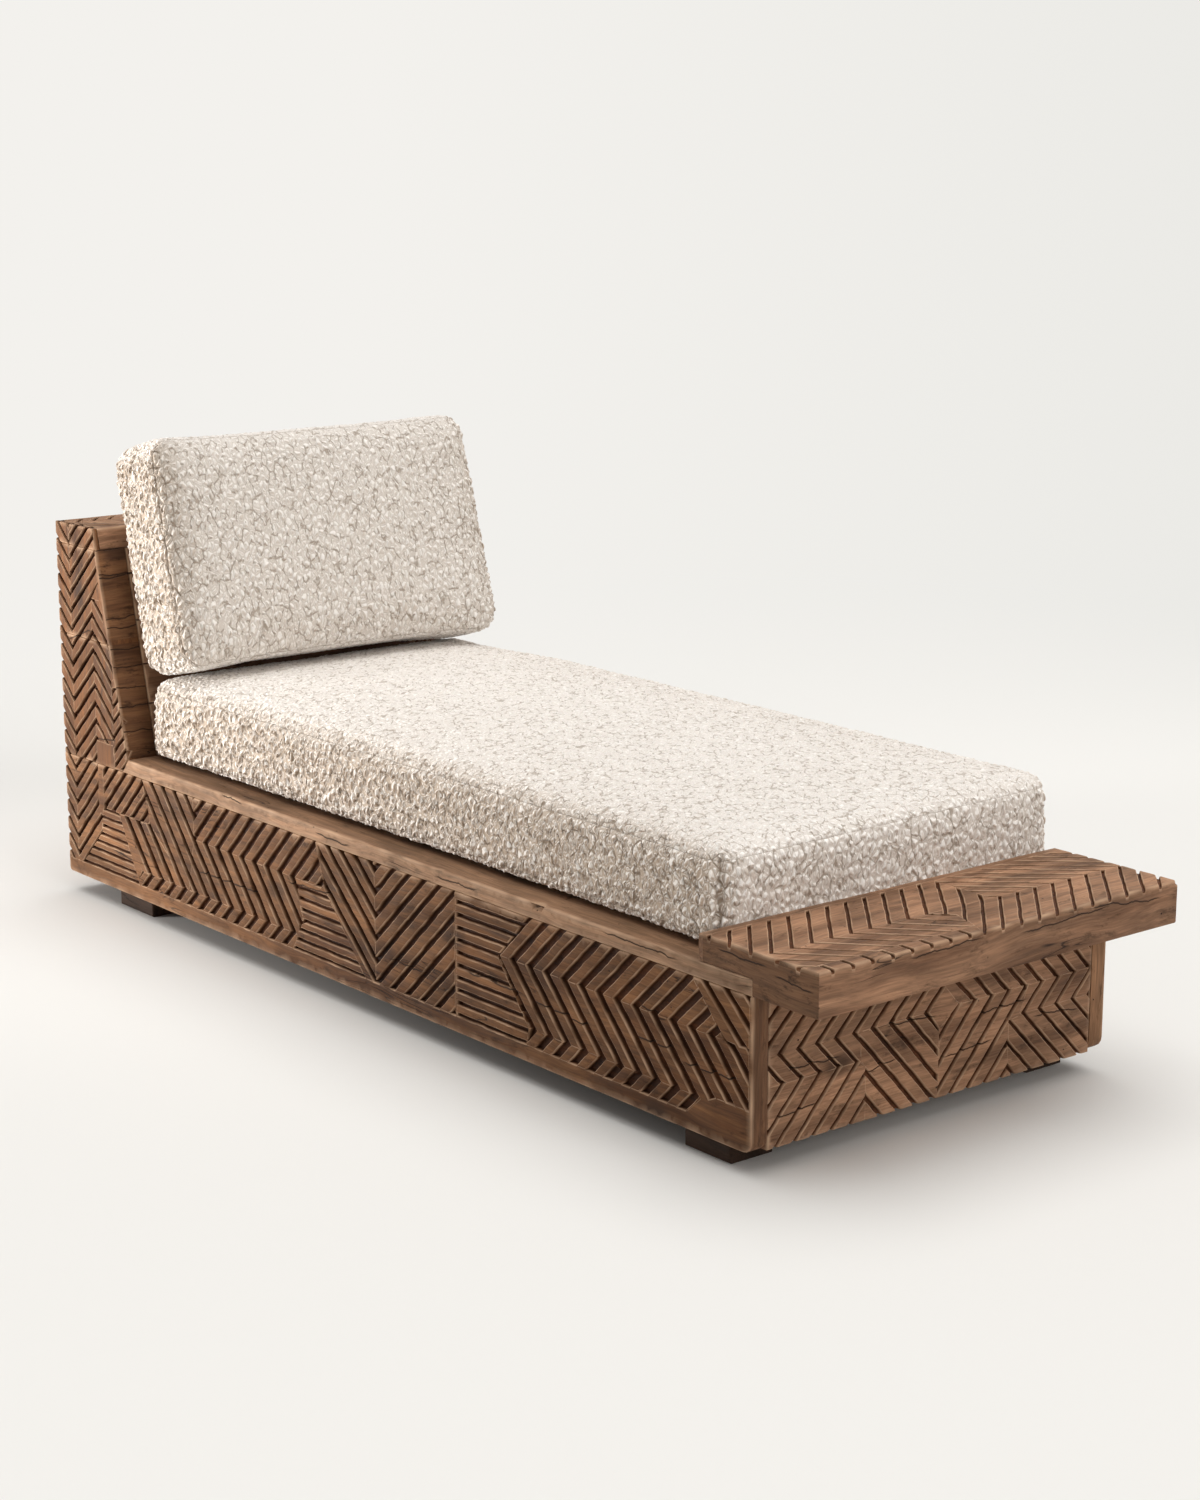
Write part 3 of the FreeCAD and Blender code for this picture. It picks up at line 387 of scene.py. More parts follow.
def carving_at(regions, u, v):
    """The region, the bar and whether a groove is at a place; region -1 is plain wood."""
    for number, (outline, a, b, start, pitch, groove) in enumerate(regions):
        if inside(u, v, outline):
            turns = (a * u + b * v - start) / pitch
            return number, math.floor(turns), abs(turns - round(turns)) * pitch < groove / 2
    return -1, 0, False


def line_inside(outline, a, b, level):
    """The stretches of the line a u + b v = level inside an outline."""
    cuts = []
    for (u0, v0), (u1, v1) in sides_of(outline):
        d0, d1 = a * u0 + b * v0 - level, a * u1 + b * v1 - level
        if (d0 > 0) != (d1 > 0):
            cuts.append((u0 + d0 / (d0 - d1) * (u1 - u0), v0 + d0 / (d0 - d1) * (v1 - v0)))
    cuts.sort()
    return list(zip(cuts[::2], cuts[1::2]))


def clipped(one, two, outline):
    """The part of a line inside a convex outline that runs anticlockwise, or None."""
    low, high = 0.0, 1.0
    du, dv = two[0] - one[0], two[1] - one[1]
    for (u0, v0), (u1, v1) in sides_of(outline):
        out_u, out_v = v1 - v0, u0 - u1
        far = (one[0] - u0) * out_u + (one[1] - v0) * out_v
        turn = du * out_u + dv * out_v
        if abs(turn) < 1e-12:
            if far > 1e-9:
                return None
        elif turn > 0:
            high = min(high, -far / turn)
        else:
            low = max(low, -far / turn)
    if high - low < 1e-6:
        return None
    return ((one[0] + low * du, one[1] + low * dv), (one[0] + high * du, one[1] + high * dv))


def shrunk(outline, gap):
    """A convex anticlockwise outline moved in by a gap."""
    points = []
    for before, here, after in zip(outline[-1:] + outline[:-1], outline, outline[1:] + outline[:1]):
        one = Vector(here) - Vector(before)
        two = Vector(after) - Vector(here)
        n1, n2 = Vector((-one.y, one.x)).normalized(), Vector((-two.y, two.x)).normalized()
        points.append(tuple(Vector(here) + (n1 + n2) * (gap / (1 + n1.dot(n2)))))
    return points


def planar(points, edges):
    """Triangles over loose points and lines."""
    return delaunay_2d_cdt([Vector(p) for p in points], edges, [], 0, 1e-6, True)


def groove_rims(regions, face_outline):
    """The lines between bars and grooves, wood on their left, and the folds between regions."""
    points, edges = [], []

    def add_line(one, two):
        line = clipped(one, two, face_outline)
        if line:
            points.extend(line)
            edges.append((len(points) - 2, len(points) - 1))

    for one, two in sides_of(face_outline):
        add_line(one, two)
    for outline, a, b, start, pitch, groove in regions:
        for one, two in sides_of(outline):
            add_line(one, two)
        levels = [a * u + b * v for u, v in outline]
        first, last = math.floor((min(levels) - start) / pitch), math.ceil((max(levels) - start) / pitch)
        for turn in range(first, last + 1):
            for side in (-1, 1):
                for one, two in line_inside(outline, a, b, start + turn * pitch + side * groove / 2):
                    add_line(one, two)
    spots, _, faces, _, _, _ = planar(points, edges)
    states = []
    for face in faces:
        middle = sum((spots[i] for i in face), Vector((0, 0))) / len(face)
        region, _, groove = carving_at(regions, *middle)
        states.append((region, groove))
    owner = {}
    for number, face in enumerate(faces):
        for one, two in zip(face, face[1:] + face[:1]):
            owner[one, two] = number
    rims, folds = [], []
    for (one, two), number in owner.items():
        other = owner.get((two, one))
        if other is None:
            continue
        here, there = states[number], states[other]
        if there[1] and not here[1]:
            rims.append((one, two))
        elif not here[1] and here[0] < there[0] and not there[1]:
            folds.append((spots[one], spots[two]))
    return spots, rims, folds


def joined(spots, edges):
    """Directed lines joined end to end, keeping to the left where they touch."""
    after = {}
    for one, two in edges:
        after.setdefault(one, []).append(two)
    arrivals = {}
    for _, two in edges:
        arrivals[two] = arrivals.get(two, 0) + 1
    starts = [spot for spot in after for _ in range(len(after[spot]) - arrivals.get(spot, 0))]
    paths = []
    while after:
        here = starts.pop() if starts else next(iter(after))
        path, closed = [here], False
        while here in after:
            options = after[here]
            if len(path) > 1:
                came = spots[path[-1]] - spots[path[-2]]
                options.sort(key=lambda spot: came.angle_signed(spots[spot] - spots[here]))
            there = options.pop(0)
            if not options:
                del after[here]
            path.append(there)
            here = there
            if there == path[0]:
                closed = True
                break
        line = [spots[i].copy() for i in (path[:-1] if closed else path)]
        keep = []
        for index, spot in enumerate(line):
            if not closed and index in (0, len(line) - 1):
                keep.append(spot)
                continue
            one, two = spot - line[index - 1], line[(index + 1) % len(line)] - spot
            if one.length > 1e-6 and two.length > 1e-6 and abs(one.angle_signed(two)) > 0.02:
                keep.append(spot)
        if len(keep) > 1:
            paths.append((keep, closed))
    return paths


rim_steps = ((0.0, 0.17), (0.0009, 0.05), (0.0022, 0.0), (-0.0011, 1.0))


def carved_face(regions, outline, spacing=0.008, seed=1, steps=()):
    """Triangles over a carved face: flat places, faces on them, their groove depth and their bars' tones."""
    face_outline = shrunk(outline, edge_round * corner_share)
    spots, rims, folds = groove_rims(regions, face_outline)
    points, edges, cuts, edge_cuts = [], [], [], []

    def add_path(path, closed, cut):
        for one, two in sides_of(path) if closed else zip(path, path[1:]):
            line = clipped(one, two, face_outline)
            if line:
                points.extend(line)
                cuts.extend((cut, cut))
                edges.append((len(points) - 2, len(points) - 1))
                edge_cuts.append(cut)

    rim_spots = []
    for path, closed in joined(spots, rims):
        if not closed:
            first, last = (path[0] - path[1]).normalized(), (path[-1] - path[-2]).normalized()
            path = [path[0] + first * 0.008] + path + [path[-1] + last * 0.008]
        fine = []
        count = len(path) if closed else len(path) - 1
        for index in range(count):
            one, two = path[index], path[(index + 1) % len(path)]
            parts = max(1, round((two - one).length / spacing))
            fine.extend(one.lerp(two, part / parts) for part in range(parts))
        if not closed:
            fine.append(path[-1])
        shaken = []
        for spot in fine:
            at = Vector((spot.x, spot.y, seed * 3.7))
            slow, quick = noise.noise_vector(at * 38), noise.noise_vector(at * 130)
            shaken.append(spot + Vector((slow.x, slow.y)) * 0.0011 + Vector((quick.x, quick.y)) * 0.0007)
        rim_spots.extend(shaken)
        sides = []
        for index, spot in enumerate(shaken):
            before = shaken[index - 1] if index or closed else None
            after = shaken[(index + 1) % len(shaken)] if index < len(shaken) - 1 or closed else None
            normals = []
            for one, two in ((before, spot), (spot, after)):
                if one is not None and two is not None:
                    run = (two - one).normalized()
                    normals.append(Vector((-run.y, run.x)))
            if len(normals) == 2:
                normals[0] = (normals[0] + normals[1]) / max(1 + normals[0].dot(normals[1]), 0.35)
            sides.append(normals[0])
        for gap, cut in rim_steps:
            add_path([spot + side * gap for spot, side in zip(shaken, sides)], closed, cut)

    rim_tree = KDTree(max(len(rim_spots), 1))
    for index, spot in enumerate(rim_spots):
        rim_tree.insert((spot.x, spot.y, 0), index)
    rim_tree.balance()

    def clear_of_rims(u, v, room):
        distance = rim_tree.find((u, v, 0))[2] if rim_spots else None
        return distance is None or distance > room

    def cut_at(u, v):
        return 1.0 if carving_at(regions, u, v)[2] else 0.0

    centre = sum((Vector(spot) for spot in outline), Vector((0, 0))) / len(outline)
    for gap in (corner_share, 0.6, 1.0):
        ring = shrunk(outline, edge_round * gap)
        for one, two in sides_of(ring):
            one, two = Vector(one), Vector(two)
            parts = max(1, round((two - one).length / spacing))
            last = None
            for part in range(parts + 1):
                spot = one.lerp(two, part / parts)
                if part in (0, parts) or clear_of_rims(spot.x, spot.y, 0.005):
                    inner = spot.lerp(centre, 0.002)
                    points.append(tuple(spot))
                    cuts.append(cut_at(*inner))
                    if last is not None:
                        edges.append((last, len(points) - 1))
                        edge_cuts.append(None)
                    last = len(points) - 1

    for spot in steps:
        points.append(spot)
        cuts.append(cut_at(*spot))

    for one, two in folds:
        run = two - one
        if run.length > 0.012:
            side = Vector((-run.y, run.x)).normalized() * 0.0012
            for offset, cut in ((0, 0.06), (-1, 0.0), (1, 0.0)):
                add_path([one + run.normalized() * 0.004 + side * offset,
                          two - run.normalized() * 0.004 + side * offset], False, cut)

    jitter = random.Random(seed)
    us, vs = [u for u, _ in outline], [v for _, v in outline]
    inner = shrunk(outline, edge_round + 0.003)
    step = spacing * 1.15
    for row in range(int((max(vs) - min(vs)) / step) + 1):
        for column in range(int((max(us) - min(us)) / step) + 1):
            u = min(us) + (column + 0.5 + jitter.uniform(-0.3, 0.3)) * step
            v = min(vs) + (row + 0.5 + jitter.uniform(-0.3, 0.3)) * step
            if inside(u, v, inner) and clear_of_rims(u, v, 0.0055):
                points.append((u, v))
                cuts.append(cut_at(u, v))

    places, out_edges, faces, origins, edge_origins, _ = planar(points, edges)
    depth = [None if not ids else max(cuts[i] for i in ids) for ids in origins]
    for (one, two), ids in zip(out_edges, edge_origins):
        found = [edge_cuts[i] for i in ids if i < len(edge_cuts) and edge_cuts[i] is not None]
        for spot in (one, two):
            if not origins[spot] and found:
                depth[spot] = max(found) if depth[spot] is None else max(depth[spot], max(found))
    depth = [cut_at(*places[i]) if cut is None else cut for i, cut in enumerate(depth)]
    tones = []
    for face in faces:
        middle = sum((places[i] for i in face), Vector((0, 0))) / 3
        region, bar, _ = carving_at(regions, *middle)
        chance = random.Random(region * 977 + bar * 31 + seed).random()
        tones.append(1.0 if region < 0 else 0.82 + 0.36 * chance)
    return places, faces, depth, tones


def carved_board(name, origin, u_axis, v_axis, outline, thickness, regions=(), material=None,
                 end_material=None, spacing=0.008, seed=1, undulation=0.0005, below=None, steps=(), splay=None,
                 deepest=groove_depth, nicks=()):
    """A closed board: its face carved, its edges eased all round, its back plain. Below gives the depth of a
    stepped back at a place, splay the lean of the sides at a depth. Nicks are places, half sizes and depths."""
    places, faces, depth, tones = carved_face(regions, outline, spacing, seed, steps)
    out_axis = u_axis.cross(v_axis)
    lines = [(Vector(one), Vector(two)) for one, two in sides_of(outline)]
    normals = [Vector((-(two - one).y, (two - one).x)).normalized() for one, two in lines]
    spots, rub_and_highlight, cut_shares, around = [], [], [], []

    # How strongly the edges are painted pale, in patches: worn wood and a painted highlight.
    def rub_and_highlight_patch(place):
        return 0.62 + 0.9 * noise.noise(Vector((place.x, place.y, seed * 5.1)) * 30)

    def nick_at(place):
        return sum(deep * max(0.0, 1 - ((place.x - u) / wide) ** 2 - ((place.y - v) / tall) ** 2) ** 0.5
                   for u, v, wide, tall, deep in nicks)

    perimeter = np.cumsum([0.0] + [(two - one).length for one, two in lines])
    for index, place in enumerate(places):
        gaps = [(place - one).dot(normal) for (one, _), normal in zip(lines, normals)]
        gap = min(gaps)
        at = Vector((place.x, place.y, seed * 5.1))
        drop = edge_round - math.sqrt(max(edge_round ** 2 - max(edge_round - gap, 0) ** 2, 0))
        swell = noise.noise(at * 14) * undulation + noise.noise(at * 60) * undulation * 0.5
        rough_floor = noise.noise(at * 110) * 0.0011 * depth[index]
        height = -deepest * depth[index] - drop + swell + rough_floor - nick_at(place)
        spots.append(origin + u_axis * place.x + v_axis * place.y + out_axis * height)
        # Groove rims and eased edges take the pale rub: worn wood and a painted highlight.
        edge = 1.0 if 0.02 < depth[index] < 0.2 else 0.0
        rub_and_highlight.append(max(0.0, min(1.0, rub_and_highlight_patch(place) * max(edge, min(1.0, 1.5 - gap / edge_round)))))
        cut_shares.append(min(1.0, max(0.0, (depth[index] - 0.17) / 0.83)))
        if gap < edge_round * corner_share + 1e-6:
            side = gaps.index(gap)
            one, two = lines[side]
            around.append((perimeter[side] + (place - one).dot((two - one).normalized()), index, side, place))
    around.sort(key=lambda item: item[0])
    loop = [item[1] for item in around]
    heights = {index: (spots[index] - origin).dot(out_axis) for index in loop}
    base_drop = edge_round * corner_share
    rows = [loop]
    faces = [list(face) for face in faces]
    materials = [0] * len(faces)
    # Each row of the eased edge: inset, drop, whether at the back, and its share of pale rub and painted
    # highlight.
    profile = [(0.076, 0.617, False, 1.0), (0.0, 1.0, False, 0.6), (0.0, 2.2, False, 0.0),
               (0.0, 1.0, True, 0.0), (corner_share, corner_share, True, 0.0)]
    for inset, drop, at_back, rub_and_highlight_share in profile:
        row = []
        for _, index, _, place in around:
            gaps = [(place - one).dot(normal) for (one, _), normal in zip(lines, normals)]
            push = Vector((0, 0))
            for gap, normal in zip(gaps, normals):
                if gap < base_drop + 1e-6:
                    push -= normal
            if push.length > 1.01:
                push = push * (2 / push.length_squared)
            flat = place + push * (base_drop - inset * edge_round)
            deep = thickness if below is None else below(place.x, place.y)
            if at_back:
                level = -deep + edge_round * drop
            else:
                level = heights[index] + base_drop - drop * edge_round
            if splay:
                flat = flat + splay(place, -level)
            row.append(len(spots))
            spots.append(origin + u_axis * flat.x + v_axis * flat.y + out_axis * level)
            rub_and_highlight.append(rub_and_highlight_share * max(0.0, min(1.0, rub_and_highlight_patch(place))))
            cut_shares.append(0.0)
        rows.append(row)
    for upper, lower in zip(rows[:-1], rows[1:]):
        for position in range(len(loop)):
            after = (position + 1) % len(loop)
            faces.append([upper[position], lower[position], lower[after], upper[after]])
            tones.append(1.0)
            at_end = abs(normals[around[position][2]].x) > 0.8
            materials.append(1 if end_material and at_end else 0)
    if below is None:
        faces.append(rows[-1][::-1])
        tones.append(1.0)
        materials.append(0)
    else:
        deeps = [below(*item[3]) for item in around]
        last = rows[-1]
        groups = [[last[i] for i, deep in enumerate(deeps) if deep == level] for level in sorted(set(deeps))]
        turns = [i for i, deep in enumerate(deeps) if deep != deeps[(i + 1) % len(deeps)]]
        groups.append([last[(i + k) % len(last)] for i in turns for k in (0, 1)])
        for group in groups:
            faces.append(group[::-1])
            tones.append(1.0)
            materials.append(0)
    mesh = bpy.data.meshes.new(name)
    mesh.from_pydata([tuple(spot) for spot in spots], [], faces)
    mesh.materials.append(material)
    if end_material:
        mesh.materials.append(end_material)
    mesh.polygons.foreach_set("material_index", materials)
    outward = bmesh.new()
    outward.from_mesh(mesh)
    bmesh.ops.recalc_face_normals(outward, faces=outward.faces)
    outward.to_mesh(mesh)
    outward.free()
    for mark, kind, values in (("rubbed_and_highlighted", "POINT", rub_and_highlight), ("cut_depth", "POINT", cut_shares),
                               ("bar_tone", "FACE", tones)):
        mesh.attributes.new(mark, "FLOAT", kind).data.foreach_set("value", values)
    mesh.shade_smooth()
    mesh.set_sharp_from_angle(angle=math.radians(32))
    mesh.validate()
    board = bpy.data.objects.new(name, mesh)
    scene.collection.objects.link(board)
    return board


def mirror_twin(board, name):
    """The like piece on the far side."""
    twin = board.copy()
    twin.data = board.data.copy()
    twin.name = twin.data.name = name
    twin.data.transform(Matrix.Diagonal((1, -1, 1, 1)))
    twin.data.flip_normals()
    scene.collection.objects.link(twin)
    return twin


def stands_for(board, node, body="base"):
    """Puts a finished piece in the place of its node."""
    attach(board, body)
    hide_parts(node)


ALONG, ACROSS, UP = Vector((1, 0, 0)), Vector((0, 1, 0)), Vector((0, 0, 1))
side_wood = wood_material("side_wood", pale=(0.180, 0.084, 0.037, 1), deep=(0.074, 0.031, 0.0135, 1),
                          crack_and_nick_shade=[("X", *line) for line in (
                              (-0.629, -0.379, 0.147, 0.150), (-0.30, -0.13, 0.196, 0.204),
                              (0.03, 0.14, 0.128, 0.122), (0.251, 0.431, 0.158, 0.155),
                              (0.44, 0.60, 0.150, 0.145), (0.70, 0.80, 0.160, 0.161),
                              (0.82, 0.965, 0.147, 0.152), (0.72, 0.79, 0.212, 0.204),
                              (-0.94, -0.86, 0.12, 0.117))])
stile_wood = wood_material("stile_wood", turn=(0, 90, 0), shift=(0.3, 0.1, 0.7),
                           pale=(0.250, 0.131, 0.069, 1), deep=(0.114, 0.055, 0.029, 1))
side_corner = 0.02
side_outline = [(0, 0.008), (0.0023, 0.0023), (0.008, 0)]
for step in range(5):
    turn = math.radians(22.5 * step)
    side_outline.append((board_length - side_corner + side_corner * math.sin(turn),
                         side_corner - side_corner * math.cos(turn)))
side_outline += [(board_length, board_height), (0, board_height)]
near_side = carved_board("near_side_board_carved", Vector((head_x, near_y, base_z)), ALONG, UP, side_outline,
                         board_thickness, read_carving(side_carving, board_length, board_height), side_wood,
                         stile_wood, seed=1)
far_side = mirror_twin(near_side, "far_side_board_carved")
stands_for(near_side, "near_side_board")
stands_for(far_side, "far_side_board")

# Top rails: plain planed boards pegged down on the side boards, their front edges worn and nicked.
deck_z, side_top_z, rail_width, rail_thickness = 0.3202, 0.292, 0.092, 0.0282
rail_start, rail_slant = 0.2576, 0.022
# The rail wood's first two dark lines are painted shade in the deepest nick, 1.589 along the rail.
rail_wood = wood_material("rail_wood", shift=(0.4, 0.3, 0.2), pale=(0.286, 0.166, 0.098, 1),
                          deep=(0.130, 0.070, 0.038, 1), smudges=0.8, crack_and_nick_shade=[("X", *line) for line in (
                              (0.448, 0.474, 0.3168, 0.3175), (0.449, 0.470, 0.3140, 0.3185),
                              (-0.52, -0.44, 0.3160, 0.3150), (0.17, 0.30, 0.3050, 0.3075),
                              (0.62, 0.82, 0.3130, 0.3100), (-0.20, -0.08, 0.3080, 0.3060))])
rail_outline = [(rail_start - rail_slant, 0), (board_length, 0), (board_length, rail_thickness),
                (rail_start, rail_thickness)]
near_rail = carved_board("near_top_rail_board", Vector((head_x, near_y, side_top_z)), ALONG, UP, rail_outline,
                         rail_width, (), rail_wood, stile_wood, seed=2,
                         nicks=[(along, rail_thickness, wide, tall, deep) for along, wide, tall, deep in (
                             (1.589, 0.017, 0.013, 0.009), (0.62, 0.012, 0.007, 0.003),
                             (1.07, 0.020, 0.006, 0.0025), (1.315, 0.009, 0.008, 0.004),
                             (1.90, 0.015, 0.007, 0.003))])
far_rail = mirror_twin(near_rail, "far_top_rail_board")
stands_for(near_rail, "near_top_rail")
stands_for(far_rail, "far_top_rail")

# Foot board: the box's end plank, carved between the plain ends of the two side boards and pegged to them. Its
# chevrons meet in a small diamond under the shelf.
foot_carving = (
    (((.0413, .595), (.0413, .992), (.519, .992), (.519, .738), (.4738, .595)),
     "along", 45, (.0725, .595), .908, .30),
    (((.0413, .595), (.2875, .595), (.2875, .401), (.0413, .401)), "along", -46, (.0725, .595), .908, .25),
    (((.0413, .401), (.285, .401), (.3013, .353), (.3013, 0), (.0413, 0)),
     "along", 47, (.1313, .401), .908, .25),
    (((.265, .595), (.4738, .595), (.505, .468), (.505, 0), (.3013, 0), (.3013, .353), (.29, .401)),
     "along", -47, (.2712, .595), .908, .30),
    (((.519, .738), (.519, .992), (.9537, .992), (.9537, .595), (.5588, .595)),
     "along", -45, (.5525, .595), .917, .30),
    (((.505, 0), (.505, .468), (.5588, .595), (.7625, .595), (.7375, .401), (.7075, .385), (.7075, 0)),
     "along", 48, (.5587, .595), .917, .28),
    (((.7562, .595), (.9537, .595), (.9537, .409), (.7438, .409)), "along", 46, (.8063, .595), .917, .25),
    (((.7438, .409), (.9537, .409), (.9537, 0), (.7075, 0), (.7075, .385)),
     "along", -45, (.7512, .409), .917, .25),
)
end_wood = wood_material("end_wood", turn=(0, 0, 90), shift=(0.1, 0.6, 0.4), crack_and_nick_shade=[("Y", *line) for line in (
    (-0.33, -0.21, 0.161, 0.158), (-0.17, -0.09, 0.118, 0.127), (-0.12, 0.0, 0.186, 0.181),
    (0.01, 0.13, 0.108, 0.113), (0.09, 0.21, 0.163, 0.167), (0.22, 0.34, 0.131, 0.125),
    (-0.35, -0.26, 0.088, 0.094))])
end_board_thickness = 0.03
foot_far = board_width - board_thickness
foot_outline = [(board_thickness, 0), (foot_far, 0), (foot_far, board_height), (board_thickness, board_height)]
foot_board = carved_board("foot_board_carved", Vector((tail_x, near_y, base_z)), ACROSS, UP, foot_outline,
                          end_board_thickness, read_carving(foot_carving, board_width, board_height), end_wood,
                          seed=3)
stands_for(foot_board, "foot_board")

# Foot shelf: a heavy slab across the foot end, stepped down past the rails, its top cut shallower than the
# sides and rubbed smooth, its edges left plain with long flowing grain.
shelf_carving = (
    (((0, 0), (0, .105), (.4437, .105), (.425, 0)), "along", 89, (.035, 0), .945, .20),
    (((0, .105), (0, .45), (.4375, .45), (.4725, .345), (.4437, .105)), "along", -48, (.0712, .45), .945, .24),
    (((0, .45), (0, .938), (.6125, .938), (.6125, .45)), "along", 49, (.0712, .45), .945, .20),
    (((.425, 0), (.4437, .105), (.4725, .345), (.4375, .45), (1, .45), (1, 0)),
     "along", 45, (.0712, .45), .945, .20),
    (((.6125, .938), (.6125, .45), (1, .45), (1, .938)), "along", -41, (.63, .45), .945, .29),
)
shelf_depth, shelf_overhang, shelf_rise = 0.2667, 0.1437, 0.0451
shelf_wood = wood_material("shelf_wood", turn=(0, 0, 90), shift=(0.2, 0.2, 0.9),
                           dirt_and_shade_tint=(0.34, 0.24, 0.18, 1),
                           crack_and_nick_shade=(("Y", -0.22, -0.05, 0.351, 0.356), ("Y", 0.02, 0.24, 0.344, 0.352),
                                   ("Y", 0.18, 0.37, 0.357, 0.343)))
shelf_end_wood = wood_material("shelf_end_wood", shift=(0.7, 0.2, 0.5), pale=(0.202, 0.104, 0.055, 1),
                               deep=(0.082, 0.038, 0.019, 1), smudges=1.4,
                               crack_and_nick_shade=(("X", 0.90, 1.02, 0.350, 0.346), ("X", 1.03, 1.12, 0.338, 0.333)))
shelf_outline = [(0, 0), (board_width, 0), (board_width, shelf_depth), (0, shelf_depth)]
shelf_ends = (edge_round * corner_share, board_width - edge_round * corner_share)
shelf_steps = [(u, shelf_overhang + side * 0.0001) for u in shelf_ends for side in (-1, 1)]
shelf_corner = Vector((tail_x + shelf_overhang, near_y, deck_z + shelf_rise))
foot_shelf = carved_board("foot_shelf_carved", shelf_corner, ACROSS, -ALONG, shelf_outline, shelf_rise,
                          read_carving(shelf_carving, board_width, shelf_depth), shelf_wood, shelf_end_wood,
                          seed=4, undulation=0.0009, steps=shelf_steps, deepest=0.006,
                          below=lambda u, v: shelf_rise + (0 if v > shelf_overhang else rail_thickness))
stands_for(foot_shelf, "foot_shelf")

# Headboard cheeks: wedge ends of two stacked timbers, the chevrons carved on across the joint.
head_carving = (
    (((0, .344), (.1747, .344), (.2135, 1), (0, 1)), "up", -42, (.1863, .556), .834, .30),
    (((.1747, .344), (.528, .344), (.528, .806), (.6444, .854), (.5823, 1), (.2135, 1)),
     "up", 42, (.1863, .556), .834, .39),
    (((.528, .41), (.7958, .41), (.7958, .587), (.8346, .601), (.6599, .806), (.528, .806)),
     "up", -42, (.528, .664), .834, .33),
    (((.7958, .35), (.9899, .35), (.9899, .41), (.8773, .574), (.7958, .574)),
     "up", 42, (.823, .444), .69, .40),
)
head_height, head_top_depth, head_foot_depth, deck_rise = 0.7322, 0.150, 0.2576, 0.2802
cheek_joint, cap_rise, cheek_thickness = 0.505, 0.6902, 0.068
head_regions = read_carving(head_carving, head_foot_depth, head_height)


def head_depth(rise):
    """How deep the headboard is at a height over the base."""
    share = (rise - deck_rise) / (head_height - deck_rise)
    return head_foot_depth - (head_foot_depth - head_top_depth) * share


cheek_wood = wood_material("cheek_wood", turn=(0, 90, 0), shift=(0.5, 0.1, 0.1),
                           pale=(0.152, 0.064, 0.025, 1), deep=(0.068, 0.027, 0.011, 1),
                           crack_and_nick_shade=(("X", -1.10, -0.99, 0.538, 0.563), ("X", -0.99, -0.91, 0.346, 0.352)))
cheek_front_wood = wood_material("cheek_front_wood", turn=(0, 0, 90), shift=(0.2, 0.4, 0.1), smudges=1.3,
                                 pale=(0.185, 0.088, 0.041, 1), deep=(0.070, 0.030, 0.014, 1),
                                 crack_and_nick_shade=[("Y", -0.43, -0.30, base_z + low, base_z + high) for low, high in (
                                     (0.690, 0.689), (0.642, 0.638), (0.634, 0.637), (0.555, 0.557),
                                     (0.539, 0.536), (0.497, 0.494), (0.460, 0.462), (0.421, 0.418),
                                     (0.382, 0.384), (0.335, 0.333))])
head_corner = Vector((head_x, near_y, base_z))
lower_outline = [(0, board_height), (rail_start - rail_slant, board_height), (rail_start, deck_rise),
                 (head_depth(cheek_joint), cheek_joint), (0, cheek_joint)]
upper_outline = [(0, cheek_joint), (head_depth(cheek_joint), cheek_joint), (head_depth(cap_rise), cap_rise),
                 (0, cap_rise)]
for part, outline, seed in (("lower", lower_outline, 5), ("upper", upper_outline, 6)):
    cheek = carved_board(f"near_cheek_{part}_carved", head_corner, ALONG, UP, outline, cheek_thickness,
                         head_regions, cheek_wood, cheek_front_wood, seed=seed)
    far_cheek = mirror_twin(cheek, f"far_cheek_{part}_carved")
    stands_for(cheek, f"near_cheek_{part}")
    stands_for(far_cheek, f"far_cheek_{part}")

# Head cap: one timber across the top, carved on its top and both ends. The ends are carved plates in the mesh,
# so that each face has its own bars.
cap_carving = (
    (((.05, .02), (.3, .02), (.3, .98), (.05, .98)), "up", -42, (.3, .03), .834, .33),
    (((.3, .02), (.93, .02), (.93, .98), (.3, .98)), "up", 42, (.3, .03), .834, .33),
)
cap_height, end_plate = 0.042, 0.012
cap_regions = read_carving(cap_carving, head_top_depth, board_width)
cap_outline = [(0, end_plate), (head_top_depth, end_plate), (head_top_depth, board_width - end_plate),
               (0, board_width - end_plate)]
head_cap = carved_board("head_cap_carved", Vector((head_x, near_y, base_z + head_height)), ALONG, ACROSS,
                        cap_outline, cap_height, cap_regions, end_wood, seed=7,
                        splay=lambda place, deep: Vector((0.238 * deep if place.x > 0.14 else 0, 0)))
end_outline = [(0, cap_rise), (head_depth(cap_rise), cap_rise), (head_top_depth, head_height), (0, head_height)]
near_end = carved_board("cap_near_end", head_corner, ALONG, UP, end_outline, end_plate, head_regions,
                        cheek_wood, seed=8)
far_end = mirror_twin(near_end, "cap_far_end")
bpy.ops.object.select_all(action="DESELECT")
bpy.context.view_layer.objects.active = head_cap
for piece in (head_cap, near_end, far_end):
    piece.select_set(True)
bpy.ops.object.join()
stands_for(head_cap, "head_cap")

